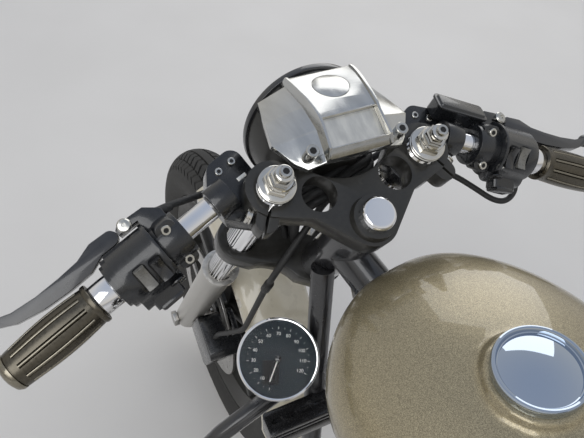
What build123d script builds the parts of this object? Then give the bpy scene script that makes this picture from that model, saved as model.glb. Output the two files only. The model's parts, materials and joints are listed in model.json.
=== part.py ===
from build123d import *

import os
from math import asin, cos, degrees, radians, sin, sqrt

# A cruiser motorcycle that leans on its side stand. All lengths are millimetres and all angles degrees.
# It is drawn upright first: X forward from the rear axle, Y to the rider's left, Z up from the floor.
# Steered pieces are drawn in the steering frame: its origin is where the steering axis meets the top
# face of the upper clamp, Z runs up along that axis and X forward across it.
# Wheels are drawn round their own axle, which lies along Y. The last section stands all of it on the
# floor, turned and leaning as it parks.

# Whole bike
wheelbase = 1515.0
rake = 29.0
fork_offset = 60.7
fork_length = 775.0
fork_spacing = 182.0
steering_turn = -9.0
lean = 9.0

# Clearances
seat_gap = 0.3
running_gap = 0.3

# Tyres and rims
front_tyre_radius = 331.0
front_tyre_width = 100.0
front_rim_radius = 241.0
rear_tyre_radius = 320.0
rear_tyre_width = 130.0
rear_rim_radius = 212.0
bead_half_width_share = 0.36
rim_depth = 26.0
rim_wall = 5.0
spoke_count = 9
spoke_root_width = 30.0
spoke_tip_width = 17.0
spoke_thickness = 14.0

# Hubs and axles
axle_radius = 10.0
hub_radius = 34.0
front_hub_half_width = 46.0
rear_hub_half_width = 62.0
collar_radius = 17.0
disc_thickness = 5.0
front_disc_radius = 146.0
disc_track = 34.0
rear_disc_radius = 130.0
disc_carrier_radius = 58.0

# Fork and clamps
fork_tube_radius = 19.5
fork_tube_rise = 6.0
fork_tube_engagement = 190.0
slider_radius = 26.0
slider_top_drop = 354.0
slider_lip_radius = 28.5
slider_lip_height = 18.0
clamp_boss_radius = 31.0
top_clamp_thickness = 28.0
lower_clamp_top_drop = 184.0
lower_clamp_thickness = 32.0
stem_radius = 15.0
stem_boss_radius = 30.0
stem_boss_rise = 10.0
stem_cap_radius = 19.0
stem_cap_height = 13.0
lightening_x = 41.9
lightening_y = 46.4
lightening_radius = 19.7
clamp_wall = 7.0
front_waist_radius = 70.0
front_waist_x = 50.0
rear_waist_radius = 60.0
rear_waist_depth = 8.0
pinch_reach = 36.0
pinch_width = 24.0
pinch_slot = 3.0
head_tube_radius = 28.0
head_bearing_gap = 2.0

# Clip-on plates, handlebar tubes and what they carry
bar_x = 72.2
bar_y = 138.1
bar_drop = 22.6
bar_sweep = 22.2
bar_droop = 12.0
bar_radius = 12.7
bar_length = 266.0
clip_thickness = 26.0
clip_ring_radius = 32.0
clip_socket_radius = 19.0
clip_socket_inner = 7.0
clip_socket_outer = 16.0
clip_screw_inner = (109.8, 116.6)
clip_screw_outer = (101.9, 133.6)
clip_pad_radius = 13.0
right_shift = -18.0
band_start = 54.0
band_radius = 25.0
housing_start = 84.0
housing_step = 133.0
housing_end = 143.0
housing_radius = 32.0
collar_end = 165.0
bar_collar_radius = 17.5
grip_end = 275.6
grip_root_radius = 19.5
grip_belly_radius = 22.5

# Headlamp and its cover
lamp_x = 143.6
lamp_drop = 69.3
lamp_radius = 80.0
lamp_ring_width = 12.0
lamp_depth = 72.0
lamp_post_x = 77.0
lamp_post_y = 52.5
lamp_post_radius = 6.5
lamp_post_top = 35.5
cover_rear_x = 65.0
cover_wall = 8.0
cover_top = 40.0
tray_rear_x = 74.5
tray_front_x = 108.0
tray_half = 32.3
tray_depth = 5.5
cover_rib_width = 3.0
cover_rib_rise = 3.5

# Fuel tank
tank_nose_x = 1052.0
tank_tail_x = 600.0
tank_half_width = 150.0
tank_top = 985.0
tank_bottom = 826.0
tank_crown_radius = 240.0
cap_x = 859.0
cap_radius = 42.0
cap_bung_radius = 47.0
cap_bung_top = 991.0
cap_height = 15.0

# Frame
frame_tube_radius = 15.0
backbone_radius = 24.0
backbone_drop = 100.0
backbone_end = (600.0, 0.0, 812.0)
rail_low_z = 152.0
rail_low_half = 112.0
pivot_x = 525.0
pivot_z = 340.0
pivot_half = 54.0
rail_top_z = 690.0
seat_rail_half = 108.0

# Swingarm and shocks
arm_inner = 110.0
arm_outer = 134.0
arm_height = 46.0
pivot_pin_radius = 12.0
shock_y = 162.0
shock_low = (70.0, 352.0)
shock_high = (160.0, 655.0)
shock_spring_radius = 27.0

# Engine
crank_x = 800.0
crank_z = 345.0
cylinder_angle = 22.5
case_half_width = 72.0
case_radius = 112.0
gearbox_x = 650.0
gearbox_radius = 84.0
deck = 140.0
cylinder_fin_half = 70.0
cylinder_core_radius = 52.0
cylinder_height = 118.0
head_height = 86.0
rocker_height = 66.0
fin_pitch = 13.0
fin_thickness = 4.0
cylinder_split = 3.0
intake_rise = 265.0

# Fenders
front_fender_radius = 350.0
rear_fender_radius = 346.0
fender_wall = 2.5
front_fender_half = 58.0
rear_fender_half = 82.0

# Gauge
gauge_x = 1109.0
gauge_y = 110.0
gauge_z = 767.0
gauge_radius = 52.0
gauge_depth = 34.0

# Side stand
stand_pivot = (700.0, 152.0, 150.0)
stand_foot_x = 765.0
stand_foot_y = 300.0
stand_leg_radius = 10.0
stand_foot_radius = 24.0
stand_foot_height = 8.0
stand_hub_half = 11.0
stand_hub_radius = 17.0
stand_bolt_radius = 7.0

# Steering geometry, worked out from the fork
rake_sin = sin(radians(rake))
rake_cos = cos(radians(rake))
stem_top_x = wheelbase - fork_offset * rake_cos - fork_length * rake_sin
stem_top_z = front_tyre_radius - fork_offset * rake_sin + fork_length * rake_cos
steering = Plane(
    origin=(stem_top_x, 0, stem_top_z), x_dir=(rake_cos, 0, rake_sin), z_dir=(-rake_sin, 0, rake_cos)
)
fork_half = fork_spacing / 2
lower_clamp_bottom = -lower_clamp_top_drop - lower_clamp_thickness


def in_upright(x, y, z):
    """Turn a place in the steering frame into one in the upright frame."""
    return steering.from_local_coords(Vector(x, y, z))


def tube(points, bends, radius):
    """A round tube along straight runs that tangent arcs join."""
    with BuildPart() as made:
        with BuildLine() as route:
            FilletPolyline(*points, radius=bends)
        with BuildSketch(Plane(origin=route.line @ 0, z_dir=route.line % 0)):
            Circle(radius)
        sweep()
    return made.part


def rod(start, end, radius):
    """A straight round rod between two places."""
    start = Vector(*start)
    end = Vector(*end)
    with BuildPart() as made:
        with BuildSketch(Plane(origin=start, z_dir=end - start)):
            Circle(radius)
        extrude(amount=(end - start).length)
    return made.part


def plate(spots, bottom, height):
    """A flat plate whose outline is stretched round circles, each given as x, y and radius."""
    with BuildPart() as made:
        with BuildSketch(Plane.XY.offset(bottom)):
            for x, y, radius in spots:
                with Locations((x, y)):
                    Circle(radius)
            make_hull()
        extrude(amount=height)
    return made.part


# Upper clamp: stem boss, fork bosses and the two round windows, drawn in the steering frame
lug = (lamp_post_x, lamp_post_y, lamp_post_radius + 3)
window = (lightening_x, lightening_y, lightening_radius + clamp_wall)
fork_boss = (fork_offset, fork_half, clamp_boss_radius)
stem_boss = (0, 0, stem_boss_radius)
arm_angle = degrees(asin(fork_half / sqrt(fork_half**2 + fork_offset**2)))
waist_out = stem_boss_radius - rear_waist_depth + rear_waist_radius
waist_x = fork_offset / 2 - waist_out * sin(radians(arm_angle))
waist_y = fork_half / 2 + waist_out * cos(radians(arm_angle))
pinch_angle = 149.0


def mirrored(spot):
    """The same circle on the other side of the bike."""
    return (spot[0], -spot[1], spot[2])


clamp_shapes = [
    [stem_boss, window, mirrored(window)],
    [fork_boss, window],
    [mirrored(fork_boss), mirrored(window)],
    [window, lug],
    [mirrored(window), mirrored(lug)],
]
with BuildPart() as top_clamp:
    for spots in clamp_shapes:
        add(plate(spots, -top_clamp_thickness, top_clamp_thickness))
    with BuildSketch(Plane.XY.offset(-top_clamp_thickness)):
        with Locations((front_waist_x + front_waist_radius, 0)):
            Circle(front_waist_radius)
        with Locations((waist_x, waist_y), (waist_x, -waist_y)):
            Circle(rear_waist_radius)
    extrude(amount=top_clamp_thickness, mode=Mode.SUBTRACT)
    with BuildSketch(Plane.XY):
        Circle(stem_boss_radius - 4)
    extrude(amount=stem_boss_rise, taper=8)
    for side in (1, -1):
        ear = Plane(
            origin=(fork_offset, side * fork_half, -top_clamp_thickness),
            x_dir=(cos(radians(pinch_angle)), side * sin(radians(pinch_angle)), 0),
        )
        with BuildSketch(ear):
            with Locations((pinch_reach / 2, 0)):
                Rectangle(pinch_reach, pinch_width)
            with Locations((pinch_reach, 0)):
                Circle(pinch_width / 2)
        extrude(amount=top_clamp_thickness - 4)
        with BuildSketch(ear):
            with Locations((pinch_reach, 0)):
                Rectangle(pinch_reach * 2, pinch_slot)
        extrude(amount=top_clamp_thickness, mode=Mode.SUBTRACT)
    with BuildSketch(Plane.XY.offset(-top_clamp_thickness)):
        with Locations((fork_offset, fork_half), (fork_offset, -fork_half)):
            Circle(fork_tube_radius + seat_gap)
        with Locations((lightening_x, lightening_y), (lightening_x, -lightening_y)):
            Circle(lightening_radius)
        with Locations((0, 0)):
            Circle(stem_radius + seat_gap)
    extrude(amount=top_clamp_thickness + stem_boss_rise, mode=Mode.SUBTRACT)
top_clamp.part.label = "top_clamp"

# Lower clamp with the stem that turns in the steering head
with BuildPart() as lower_clamp:
    add(plate([stem_boss, fork_boss], lower_clamp_bottom, lower_clamp_thickness))
    add(plate([stem_boss, mirrored(fork_boss)], lower_clamp_bottom, lower_clamp_thickness))
    with BuildSketch(Plane.XY.offset(lower_clamp_bottom)):
        with Locations((waist_x, waist_y), (waist_x, -waist_y)):
            Circle(rear_waist_radius)
        with Locations((fork_offset, fork_half), (fork_offset, -fork_half)):
            Circle(fork_tube_radius + seat_gap)
    extrude(amount=lower_clamp_thickness, mode=Mode.SUBTRACT)
    with BuildSketch(Plane.XY.offset(lower_clamp_bottom)):
        Circle(stem_radius)
    extrude(amount=stem_boss_rise - lower_clamp_bottom)
lower_clamp.part.label = "lower_clamp"

# Domed cap on the stem
with BuildPart() as stem_cap:
    with BuildSketch(Plane.XY.offset(stem_boss_rise)):
        Circle(stem_cap_radius)
    extrude(amount=stem_cap_height)
    fillet(stem_cap.faces().sort_by(Axis.Z)[-1].edges(), radius=5)
stem_cap.part.label = "stem_cap"

# Fork tubes, sliders and the stacked adjusters on top
tube_bottom = -slider_top_drop - fork_tube_engagement
with BuildPart() as fork_tubes:
    with BuildSketch(Plane.XY.offset(tube_bottom)):
        with Locations((fork_offset, fork_half), (fork_offset, -fork_half)):
            Circle(fork_tube_radius)
    extrude(amount=fork_tube_rise - tube_bottom)
fork_tubes.part.label = "fork_tubes"

slider_foot = -fork_length - 2.2 * axle_radius
fender_pad_y = front_fender_half + seat_gap
fender_pad_radius = 13.0
fender_pad_rise = front_fender_radius - 30
with BuildPart() as fork_sliders:
    for side in (1, -1):
        with BuildSketch(Plane.XY.offset(slider_foot)):
            with Locations((fork_offset, side * fork_half)):
                Circle(slider_radius)
        extrude(amount=-slider_top_drop - slider_foot)
        with BuildSketch(Plane.XY.offset(-slider_top_drop - slider_lip_height)):
            with Locations((fork_offset, side * fork_half)):
                Circle(slider_lip_radius)
        extrude(amount=slider_lip_height)
        with BuildSketch(Plane.XZ.offset(-side * fender_pad_y)):
            with Locations((fork_offset, fender_pad_rise - fork_length)):
                Circle(fender_pad_radius)
        extrude(amount=-side * (fork_half - slider_radius + 4 - fender_pad_y))
        with BuildSketch(Plane.XY.offset(tube_bottom)):
            with Locations((fork_offset, side * fork_half)):
                Circle(fork_tube_radius + seat_gap)
        extrude(amount=-tube_bottom - slider_top_drop, mode=Mode.SUBTRACT)
    with BuildSketch(Plane.XZ):
        with Locations((fork_offset, -fork_length)):
            Circle(axle_radius + seat_gap)
    extrude(amount=fork_half + slider_radius, both=True, mode=Mode.SUBTRACT)
fork_sliders.part.label = "fork_sliders"

with BuildPart() as fork_caps:
    for side in (1, -1):
        cap_stack = [
            (0.0, 8.0, 20.0, 0),
            (8.0, 9.0, 16.5, 6),
            (17.0, 5.0, 14.0, 0),
            (22.0, 8.0, 12.0, 6),
            (30.0, 4.0, 9.0, 0),
            (34.0, 8.0, 6.0, 0),
        ]
        # rows are rise above the tube, height, radius and how many flats
        for rise, height, radius, flats in cap_stack:
            with BuildSketch(Plane.XY.offset(fork_tube_rise + rise)):
                with Locations((fork_offset, side * fork_half)):
                    if flats:
                        RegularPolygon(radius, flats)
                    else:
                        Circle(radius)
            extrude(amount=height)
fork_caps.part.label = "fork_caps"

# The left handlebar's own plane: origin where the tube leaves its plate, Z outwards along the tube,
# X forward and Y down. The right side is its mirror image.
sweep_sin = sin(radians(bar_sweep))
sweep_cos = cos(radians(bar_sweep))
droop_cos = cos(radians(bar_droop))
droop_sin = sin(radians(bar_droop))
left_bar = Plane(
    origin=(bar_x, bar_y, -bar_drop),
    x_dir=(sweep_cos, sweep_sin, 0),
    z_dir=(-sweep_sin * droop_cos, sweep_cos * droop_cos, -droop_sin),
)

bar_shifts = ((1, 0.0), (-1, right_shift))


def on_bar(shape, side):
    """Put a shape drawn along the left bar on the bar of a side; the right bar's sit further in."""
    shift = 0.0 if side > 0 else right_shift
    placed_left = left_bar.offset(shift).location * shape
    return placed_left if side > 0 else placed_left.mirror(Plane.XZ)


with BuildPart() as handlebars:
    for side, shift in bar_shifts:
        with BuildPart(mode=Mode.PRIVATE) as bar:
            with BuildSketch(Plane.XY.offset(-clip_socket_inner - shift)):
                Circle(bar_radius)
            extrude(amount=bar_length + clip_socket_inner)
            with BuildSketch(Plane.XY.offset(housing_end + seat_gap)):
                Circle(bar_collar_radius)
            extrude(amount=collar_end - housing_end - 2 * seat_gap)
        add(on_bar(bar.part, side))
handlebars.part.label = "handlebars"

# Clip-on plates: a ring round each fork tube, a plate with two screws and the socket of the bar
clip_top = -top_clamp_thickness - seat_gap
clip_bottom = clip_top - clip_thickness
clip_bar_spot = (bar_x - 4, bar_y, clip_socket_radius)
with BuildPart() as clip_ons:
    add(plate([(fork_offset, fork_half, clip_ring_radius), clip_bar_spot], clip_bottom, clip_thickness))
    add(
        plate(
            [
                (fork_offset + 12, fork_half + 12, clip_pad_radius),
                (*clip_screw_inner, clip_pad_radius),
                (*clip_screw_outer, clip_pad_radius),
                clip_bar_spot,
            ],
            clip_bottom,
            clip_thickness,
        )
    )
    with BuildSketch(left_bar.offset(-clip_socket_inner)):
        Circle(clip_socket_radius)
    extrude(amount=clip_socket_inner + clip_socket_outer)
    with BuildSketch(left_bar.offset(-clip_socket_inner)):
        Circle(bar_radius + seat_gap)
    extrude(amount=clip_socket_inner + clip_socket_outer, mode=Mode.SUBTRACT)
    with BuildSketch(left_bar.offset(clip_socket_outer)):
        Circle(2 * clip_ring_radius)
    extrude(amount=2 * clip_ring_radius, mode=Mode.SUBTRACT)
    with BuildSketch(Plane.XY.offset(clip_bottom)):
        with Locations((fork_offset, fork_half)):
            Circle(fork_tube_radius + seat_gap)
    extrude(amount=clip_thickness, mode=Mode.SUBTRACT)
    mirror(about=Plane.XZ)
clip_ons.part.label = "clip_ons"

# Grips with a belly and an end cap; the throttle grip on the right is the longer
with BuildPart() as grips:
    for side, shift in bar_shifts:
        bar_tip = bar_length - shift + seat_gap
        grip_tip = grip_end - shift
        with BuildPart(mode=Mode.PRIVATE) as grip:
            with BuildSketch(Plane.XZ):
                with BuildLine():
                    Polyline(
                        (bar_radius + seat_gap, bar_tip),
                        (bar_radius + seat_gap, collar_end),
                        (grip_root_radius + 2, collar_end),
                        (grip_root_radius + 2, collar_end + 5),
                        (grip_root_radius, collar_end + 7),
                    )
                    ThreePointArc(
                        (grip_root_radius, collar_end + 7),
                        (grip_belly_radius, (collar_end + grip_tip) / 2),
                        (grip_root_radius + 1, grip_tip - 12),
                    )
                    TangentArc((0, grip_tip), (grip_root_radius + 1, grip_tip - 12), tangent=(1, 0))
                    Polyline((0, grip_tip), (0, bar_tip), (bar_radius + seat_gap, bar_tip))
                make_face()
            revolve(axis=Axis.Z)
        add(on_bar(grip.part, side))
grips.part.label = "grips"

# Switch housings: a barrel round each bar with a thumb button's lobe behind it and two sunk slots for
# rockers. Angles run round the bar from straight up towards the rider.
slot_width = 15.0
slot_length = 29.0
slot_depth = 3.5
# columns: place along the bar, angle round it
rocker_slots = ((96.5, 36.0), (113.5, 31.0))


def facing(along, angle):
    """A plane on the bar's axis that faces out at an angle from straight up, its X along the bar."""
    return Plane(
        origin=(0, 0, along), x_dir=(0, 0, 1), z_dir=(-sin(radians(angle)), -cos(radians(angle)), 0)
    )


with BuildPart() as barrel:
    with BuildSketch(Plane.XY.offset(housing_start)):
        Circle(housing_radius)
        with BuildSketch(mode=Mode.PRIVATE) as lobe:
            Circle(housing_radius - 6)
            with Locations((-housing_radius + 5, 7)):
                Circle(12)
            make_hull()
        add(lobe.sketch)
    extrude(amount=housing_step - housing_start)
    with BuildSketch(Plane.XY.offset(housing_start)):
        Circle(housing_radius + 1.5)
    extrude(amount=4)
    with BuildSketch(Plane.XY.offset(housing_step)):
        Circle(housing_radius - 3)
        with Locations((-12, 14)):
            Circle(16)
    extrude(amount=6)
    with BuildSketch(Plane.XY.offset(housing_step + 6)):
        Circle(housing_radius - 7)
    extrude(amount=housing_end - housing_step - 6)
    with BuildSketch(facing(108, 102).offset(housing_radius - 8)):
        RectangleRounded(34, 18, 5)
    extrude(amount=22)
    for along, angle in rocker_slots:
        with BuildSketch(facing(along, angle).offset(housing_radius - slot_depth)):
            RectangleRounded(slot_width, slot_length, 5)
        extrude(amount=20, mode=Mode.SUBTRACT)
    with BuildSketch(Plane.XY.offset(housing_start)):
        Circle(bar_radius + seat_gap)
    extrude(amount=housing_end - housing_start, mode=Mode.SUBTRACT)
with BuildPart() as switch_housings:
    for side, shift in bar_shifts:
        add(on_bar(barrel.part, side))
switch_housings.part.label = "switch_housings"

# Lever perches: a band round each bar, its cap held by two screws, and an arm forward of it
perch_cap_angle = 31.0
perch_screw_reach = 20.0
perch_arm = [(4, 58), (32, 58), (44, 72), (46, 102), (42, 107), (36, 107), (36, 83.7), (4, 83.7)]
perch_arm_half = 11.0


def perch(extra):
    """A lever's perch on the left bar, thickened by an extra all round."""
    with BuildPart() as made:
        with BuildSketch(Plane.XY.offset(band_start - extra)):
            Circle(band_radius + extra)
        extrude(amount=housing_start - seat_gap - band_start + 2 * extra)
        with BuildSketch(facing((band_start + housing_start) / 2, perch_cap_angle)):
            RectangleRounded(22 + 2 * extra, 2 * perch_screw_reach + 16 + 2 * extra, 7)
        extrude(amount=17 + extra)
        with BuildSketch(Plane.XZ.offset(-perch_arm_half - extra)):
            with BuildLine():
                Polyline(*perch_arm, close=True)
            make_face()
            if extra:
                offset(amount=extra)
        extrude(amount=2 * (perch_arm_half + extra))
    return made.part


perch_shape = perch(0.0)
with BuildPart() as perch_left:
    add(perch_shape)
    with BuildSketch(Plane.XY):
        Circle(bar_radius + seat_gap)
    extrude(amount=bar_length, mode=Mode.SUBTRACT)
with BuildPart() as lever_perches:
    for side, shift in bar_shifts:
        add(on_bar(perch_left.part, side))
lever_perches.part.label = "lever_perches"

# Levers: a flat blade in front of each grip that ends in a ball
lever_half = 6.0
# columns: place in front of the bar, place along it, radius
lever_spots = [
    (40.5, 110.8, 3.5),
    (40.5, 116, 8),
    (41, 134, 8.5),
    (34.5, 153, 9),
    (33.5, 178, 8.5),
    (34.5, 206, 7.5),
    (39, 234, 6),
    (47, 252, 4.5),
]
with BuildPart() as lever:
    for start, end in zip(lever_spots, lever_spots[1:]):
        with BuildSketch(Plane.XZ.offset(-lever_half)):
            for x, along, radius in (start, end):
                with Locations((x, along)):
                    Circle(radius)
            make_hull()
        extrude(amount=2 * lever_half)
    with Locations((51, 0, 258)):
        Sphere(8.5)
with BuildPart() as levers:
    for side, shift in bar_shifts:
        add(on_bar(lever.part, side))
levers.part.label = "levers"

# Brake master cylinder on the right: a reservoir with its lid, leaning forward from the perch
reservoir_lean = 25.0
reservoir_corner = (26.5, -15.0)
reservoir_depth = 25.0
reservoir_length = 70.0
reservoir_start = -18.0 - right_shift
reservoir_top = Plane(
    origin=(*reservoir_corner, reservoir_start),
    x_dir=(cos(radians(reservoir_lean)), sin(radians(reservoir_lean)), 0),
    z_dir=(sin(radians(reservoir_lean)), -cos(radians(reservoir_lean)), 0),
)
with BuildPart() as reservoir:
    with BuildSketch(reservoir_top):
        with Locations((reservoir_depth / 2, reservoir_length / 2)):
            RectangleRounded(reservoir_depth, reservoir_length, 6)
    extrude(amount=-16)
    with BuildSketch(reservoir_top):
        with Locations((reservoir_depth / 2, reservoir_length / 2)):
            RectangleRounded(reservoir_depth + 3, reservoir_length + 3, 7)
    extrude(amount=3)
    with BuildSketch(reservoir_top.offset(3)):
        with Locations((reservoir_depth / 2, reservoir_length / 2)):
            RectangleRounded(reservoir_depth - 3, reservoir_length - 3, 5)
    extrude(amount=2.5, taper=30)
    add(perch(seat_gap), mode=Mode.SUBTRACT)
with BuildPart() as brake_master:
    add(on_bar(reservoir.part, -1))
brake_master.part.label = "brake_master"

# Headlamp: a bowl, a trim ring and a domed lens, drawn round the lamp's own axis and level when upright
lamp = Plane(
    origin=(lamp_x, 0, -lamp_drop), x_dir=(0, 1, 0), z_dir=(rake_cos, 0, -rake_sin)
)


def lamp_bowl(extra):
    """The lamp's bowl, turned round Z with its rim at zero, thickened outwards by an extra."""
    rim = lamp_radius - 3 + extra
    back = lamp_radius * 0.36 + extra
    with BuildPart() as made:
        with BuildSketch(Plane.XZ):
            with BuildLine():
                Line((0, 0), (rim, 0))
                ThreePointArc((rim, 0), (lamp_radius * 0.8 + extra, -lamp_depth * 0.5), (back, -lamp_depth * 0.9))
                Line((back, -lamp_depth * 0.9), (back, -lamp_depth - extra))
                Line((back, -lamp_depth - extra), (0, -lamp_depth - extra))
                Line((0, -lamp_depth - extra), (0, 0))
            make_face()
        revolve(axis=Axis.Z)
    return made.part


with BuildPart() as bowl:
    add(lamp_bowl(0))
    with BuildSketch(Plane.XY.offset(-14)):
        Circle(lamp_radius - 14)
    extrude(amount=14, mode=Mode.SUBTRACT)
with BuildPart() as headlamp_shell:
    add(lamp.location * bowl.part)
headlamp_shell.part.label = "headlamp_shell"

with BuildPart() as ring_shape:
    with BuildSketch(Plane.XZ):
        with BuildLine():
            Polyline(
                (lamp_radius - 12, seat_gap),
                (lamp_radius, seat_gap),
                (lamp_radius, 8),
                (lamp_radius - 5, lamp_ring_width + seat_gap),
                (lamp_radius - 12, lamp_ring_width + seat_gap),
                (lamp_radius - 12, seat_gap),
            )
        make_face()
    revolve(axis=Axis.Z)
with BuildPart() as headlamp_ring:
    add(lamp.location * ring_shape.part)
headlamp_ring.part.label = "headlamp_ring"

with BuildPart() as lens_shape:
    with BuildSketch(Plane.XZ):
        with BuildLine():
            Polyline((0, 20), (0, 4), (lamp_radius - 12 - seat_gap, 4), (lamp_radius - 12 - seat_gap, 9))
            TangentArc((0, 20), (lamp_radius - 12 - seat_gap, 9), tangent=(1, 0))
        make_face()
    revolve(axis=Axis.Z)
with BuildPart() as headlamp_lens:
    add(lamp.location * lens_shape.part)
headlamp_lens.part.label = "headlamp_lens"

# Cast cover draped over the lamp. Its roof falls away to both sides from a raised middle that has a rib
# along each edge and a sunk tray, and a post on each side takes a screw into the upper clamp's lug.
# columns: place along, half width of the middle, roof beside it, half width outside, roof there
cover_sections = [
    (65.0, 38.0, 27.0, 56.0, 18.0),
    (75.0, 37.0, 26.5, 66.0, 15.0),
    (102.0, 35.0, 26.0, 81.5, 10.0),
    (134.0, 37.0, 18.0, 74.5, -7.0),
    (167.0, 41.0, 2.0, 66.0, -25.0),
]
cover_depth = 70.0
cover_front_x = 173.0
cover_front_z = 8.0
plug_radius = 20.0
plug_groove = 0.8
plug = Plane(origin=(147.5, 0, 25.5), x_dir=(0.883, 0, -0.469), z_dir=(0.469, 0, 0.883))


def cover_roof(drop):
    """The space under the cover's sloping roof, lowered by a drop."""
    with BuildPart() as made:
        for x, middle, middle_z, outside, outside_z in cover_sections:
            with BuildSketch(Plane(origin=(x, 0, 0), x_dir=(0, 1, 0), z_dir=(1, 0, 0))):
                with BuildLine():
                    Polyline(
                        (-outside, outside_z - drop),
                        (-outside, -cover_depth - drop),
                        (outside, -cover_depth - drop),
                        (outside, outside_z - drop),
                        (middle, middle_z - drop),
                        (-middle, middle_z - drop),
                        close=True,
                    )
                make_face()
        loft(ruled=True)
    return made.part


def cover_middle(rise, half):
    """The raised middle's profile, lifted by a rise and drawn out to both sides."""
    with BuildPart() as made:
        with BuildSketch(Plane.XZ):
            with BuildLine():
                Polyline(
                    (cover_front_x, cover_front_z + rise),
                    (cover_front_x, -cover_depth),
                    (cover_rear_x, -cover_depth),
                    (cover_rear_x, cover_top - 8 + rise),
                    (tray_rear_x - 1, cover_top + rise),
                    (tray_front_x + 2, cover_top + rise),
                )
                ThreePointArc(
                    (tray_front_x + 2, cover_top + rise),
                    (plug.origin.X, plug.origin.Z + rise),
                    (cover_front_x, cover_front_z + rise),
                )
            make_face()
        extrude(amount=half, both=True)
    return made.part


def cover_band(inner, outer):
    """Plan of the middle on one side, between two distances from its edge, full height."""
    near = [(x, middle + inner) for x, middle, _, _, _ in cover_sections]
    far = [(x, middle + outer) for x, middle, _, _, _ in cover_sections]
    with BuildPart() as made:
        with BuildSketch(Plane.XY.offset(-cover_depth)):
            with BuildLine():
                front = cover_front_x + 2
                Polyline(*near, (front, near[-1][1]), (front, far[-1][1]), *far[::-1], close=True)
            make_face()
        extrude(amount=2 * cover_depth)
        mirror(about=Plane.XZ)
    return made.part


hollow = cover_roof(cover_wall)
middle_fill = cover_band(-60, 0) & cover_middle(0, 60)
ribs = cover_band(-cover_rib_width, 0) & cover_middle(cover_rib_rise, 60)
with BuildPart() as headlamp_cover:
    add(cover_roof(0.0))
    add(middle_fill)
    add(ribs)
    add(hollow, mode=Mode.SUBTRACT)
    with BuildSketch(Plane.XY.offset(cover_top)):
        with Locations(((tray_rear_x + tray_front_x) / 2, 0)):
            Rectangle(tray_front_x - tray_rear_x, 2 * tray_half)
    extrude(amount=-tray_depth, mode=Mode.SUBTRACT)
    with BuildSketch(plug.offset(-3)):
        Circle(plug_radius + plug_groove)
        Circle(plug_radius, mode=Mode.SUBTRACT)
    extrude(amount=9, mode=Mode.SUBTRACT)
    with BuildSketch(Plane.XY.offset(lamp_post_top)):
        with Locations((lamp_post_x, lamp_post_y), (lamp_post_x, -lamp_post_y)):
            Circle(lamp_post_radius)
    extrude(amount=seat_gap - lamp_post_top)
    with BuildSketch(Plane(origin=(lamp_x, 0, -lamp_drop), x_dir=(0, 1, 0), z_dir=(rake_cos, 0, -rake_sin))):
        Circle(2 * lamp_radius)
    extrude(amount=lamp_radius, mode=Mode.SUBTRACT)
    add(lamp.location * lamp_bowl(seat_gap), mode=Mode.SUBTRACT)
headlamp_cover.part.label = "headlamp_cover"


def wheel_casting(rim_radius, half_width, hub_half):
    """Rim, spokes and hub of a cast wheel, turned round Y."""
    bead = half_width * 2 * bead_half_width_share
    outer = rim_radius - seat_gap
    with BuildPart() as made:
        with BuildSketch(Plane.XY):
            with BuildLine():
                Polyline(
                    (outer, -bead),
                    (outer, bead),
                    (outer - rim_wall, bead),
                    (outer - rim_depth, bead * 0.45),
                    (outer - rim_depth, -bead * 0.45),
                    (outer - rim_wall, -bead),
                    close=True,
                )
            make_face()
            with Locations(((axle_radius + running_gap + hub_radius) / 2, 0)):
                Rectangle(hub_radius - axle_radius - running_gap, 2 * hub_half)
        revolve(axis=Axis.Y)
        with BuildSketch(Plane.XZ):
            with PolarLocations(0, spoke_count):
                with Locations(((hub_radius + outer - rim_depth) / 2, 0)):
                    Trapezoid(
                        spoke_root_width,
                        outer - rim_depth - hub_radius + 8,
                        90 - degrees(asin((spoke_root_width - spoke_tip_width) / 2 / outer)) * 1.5,
                        rotation=-90,
                    )
        extrude(amount=spoke_thickness, both=True)
    return made.part


def tyre_ring(radius, width, rim_radius):
    """A tyre turned round Y: crowned tread, bulged walls and a bead that sits on the rim."""
    half = width / 2
    bead = width * bead_half_width_share
    shoulder = radius - 0.42 * width
    with BuildPart() as made:
        with BuildSketch(Plane.XY):
            with BuildLine():
                Line((rim_radius, bead), (rim_radius, -bead))
                ThreePointArc((rim_radius, -bead), ((rim_radius + shoulder) / 2, -half * 0.97), (shoulder, -half))
                ThreePointArc((shoulder, -half), (radius, 0), (shoulder, half))
                ThreePointArc((shoulder, half), ((rim_radius + shoulder) / 2, half * 0.97), (rim_radius, bead))
            make_face()
        revolve(axis=Axis.Y)
    return made.part


# Front wheel
with BuildPart() as front_tyre:
    add(tyre_ring(front_tyre_radius, front_tyre_width, front_rim_radius))
front_tyre.part.label = "front_tyre"

with BuildPart() as front_wheel:
    add(wheel_casting(front_rim_radius, front_tyre_width / 2, front_hub_half_width))
front_wheel.part.label = "front_wheel"


def brake_disc(radius, hub_face, thickness):
    """A brake disc and its carrier, bolted against the hub's left face and turned round Y."""
    with BuildPart() as made:
        with BuildSketch(Plane.XZ.offset(-hub_face - seat_gap)):
            Circle(disc_carrier_radius)
            Circle(axle_radius + 8, mode=Mode.SUBTRACT)
        extrude(amount=-thickness)
        with BuildSketch(Plane.XZ.offset(-hub_face - seat_gap)):
            Circle(radius)
            Circle(radius - disc_track, mode=Mode.SUBTRACT)
            with PolarLocations(0, 6):
                with Locations(((radius - disc_track + disc_carrier_radius) / 2, 0)):
                    Rectangle(radius - disc_track - disc_carrier_radius + 12, 18)
            with PolarLocations(radius - disc_track / 2, 18):
                Circle(3.5, mode=Mode.SUBTRACT)
        extrude(amount=-thickness)
    return made.part


with BuildPart() as front_disc:
    add(brake_disc(front_disc_radius, front_hub_half_width, disc_thickness))
front_disc.part.label = "front_disc"

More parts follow.
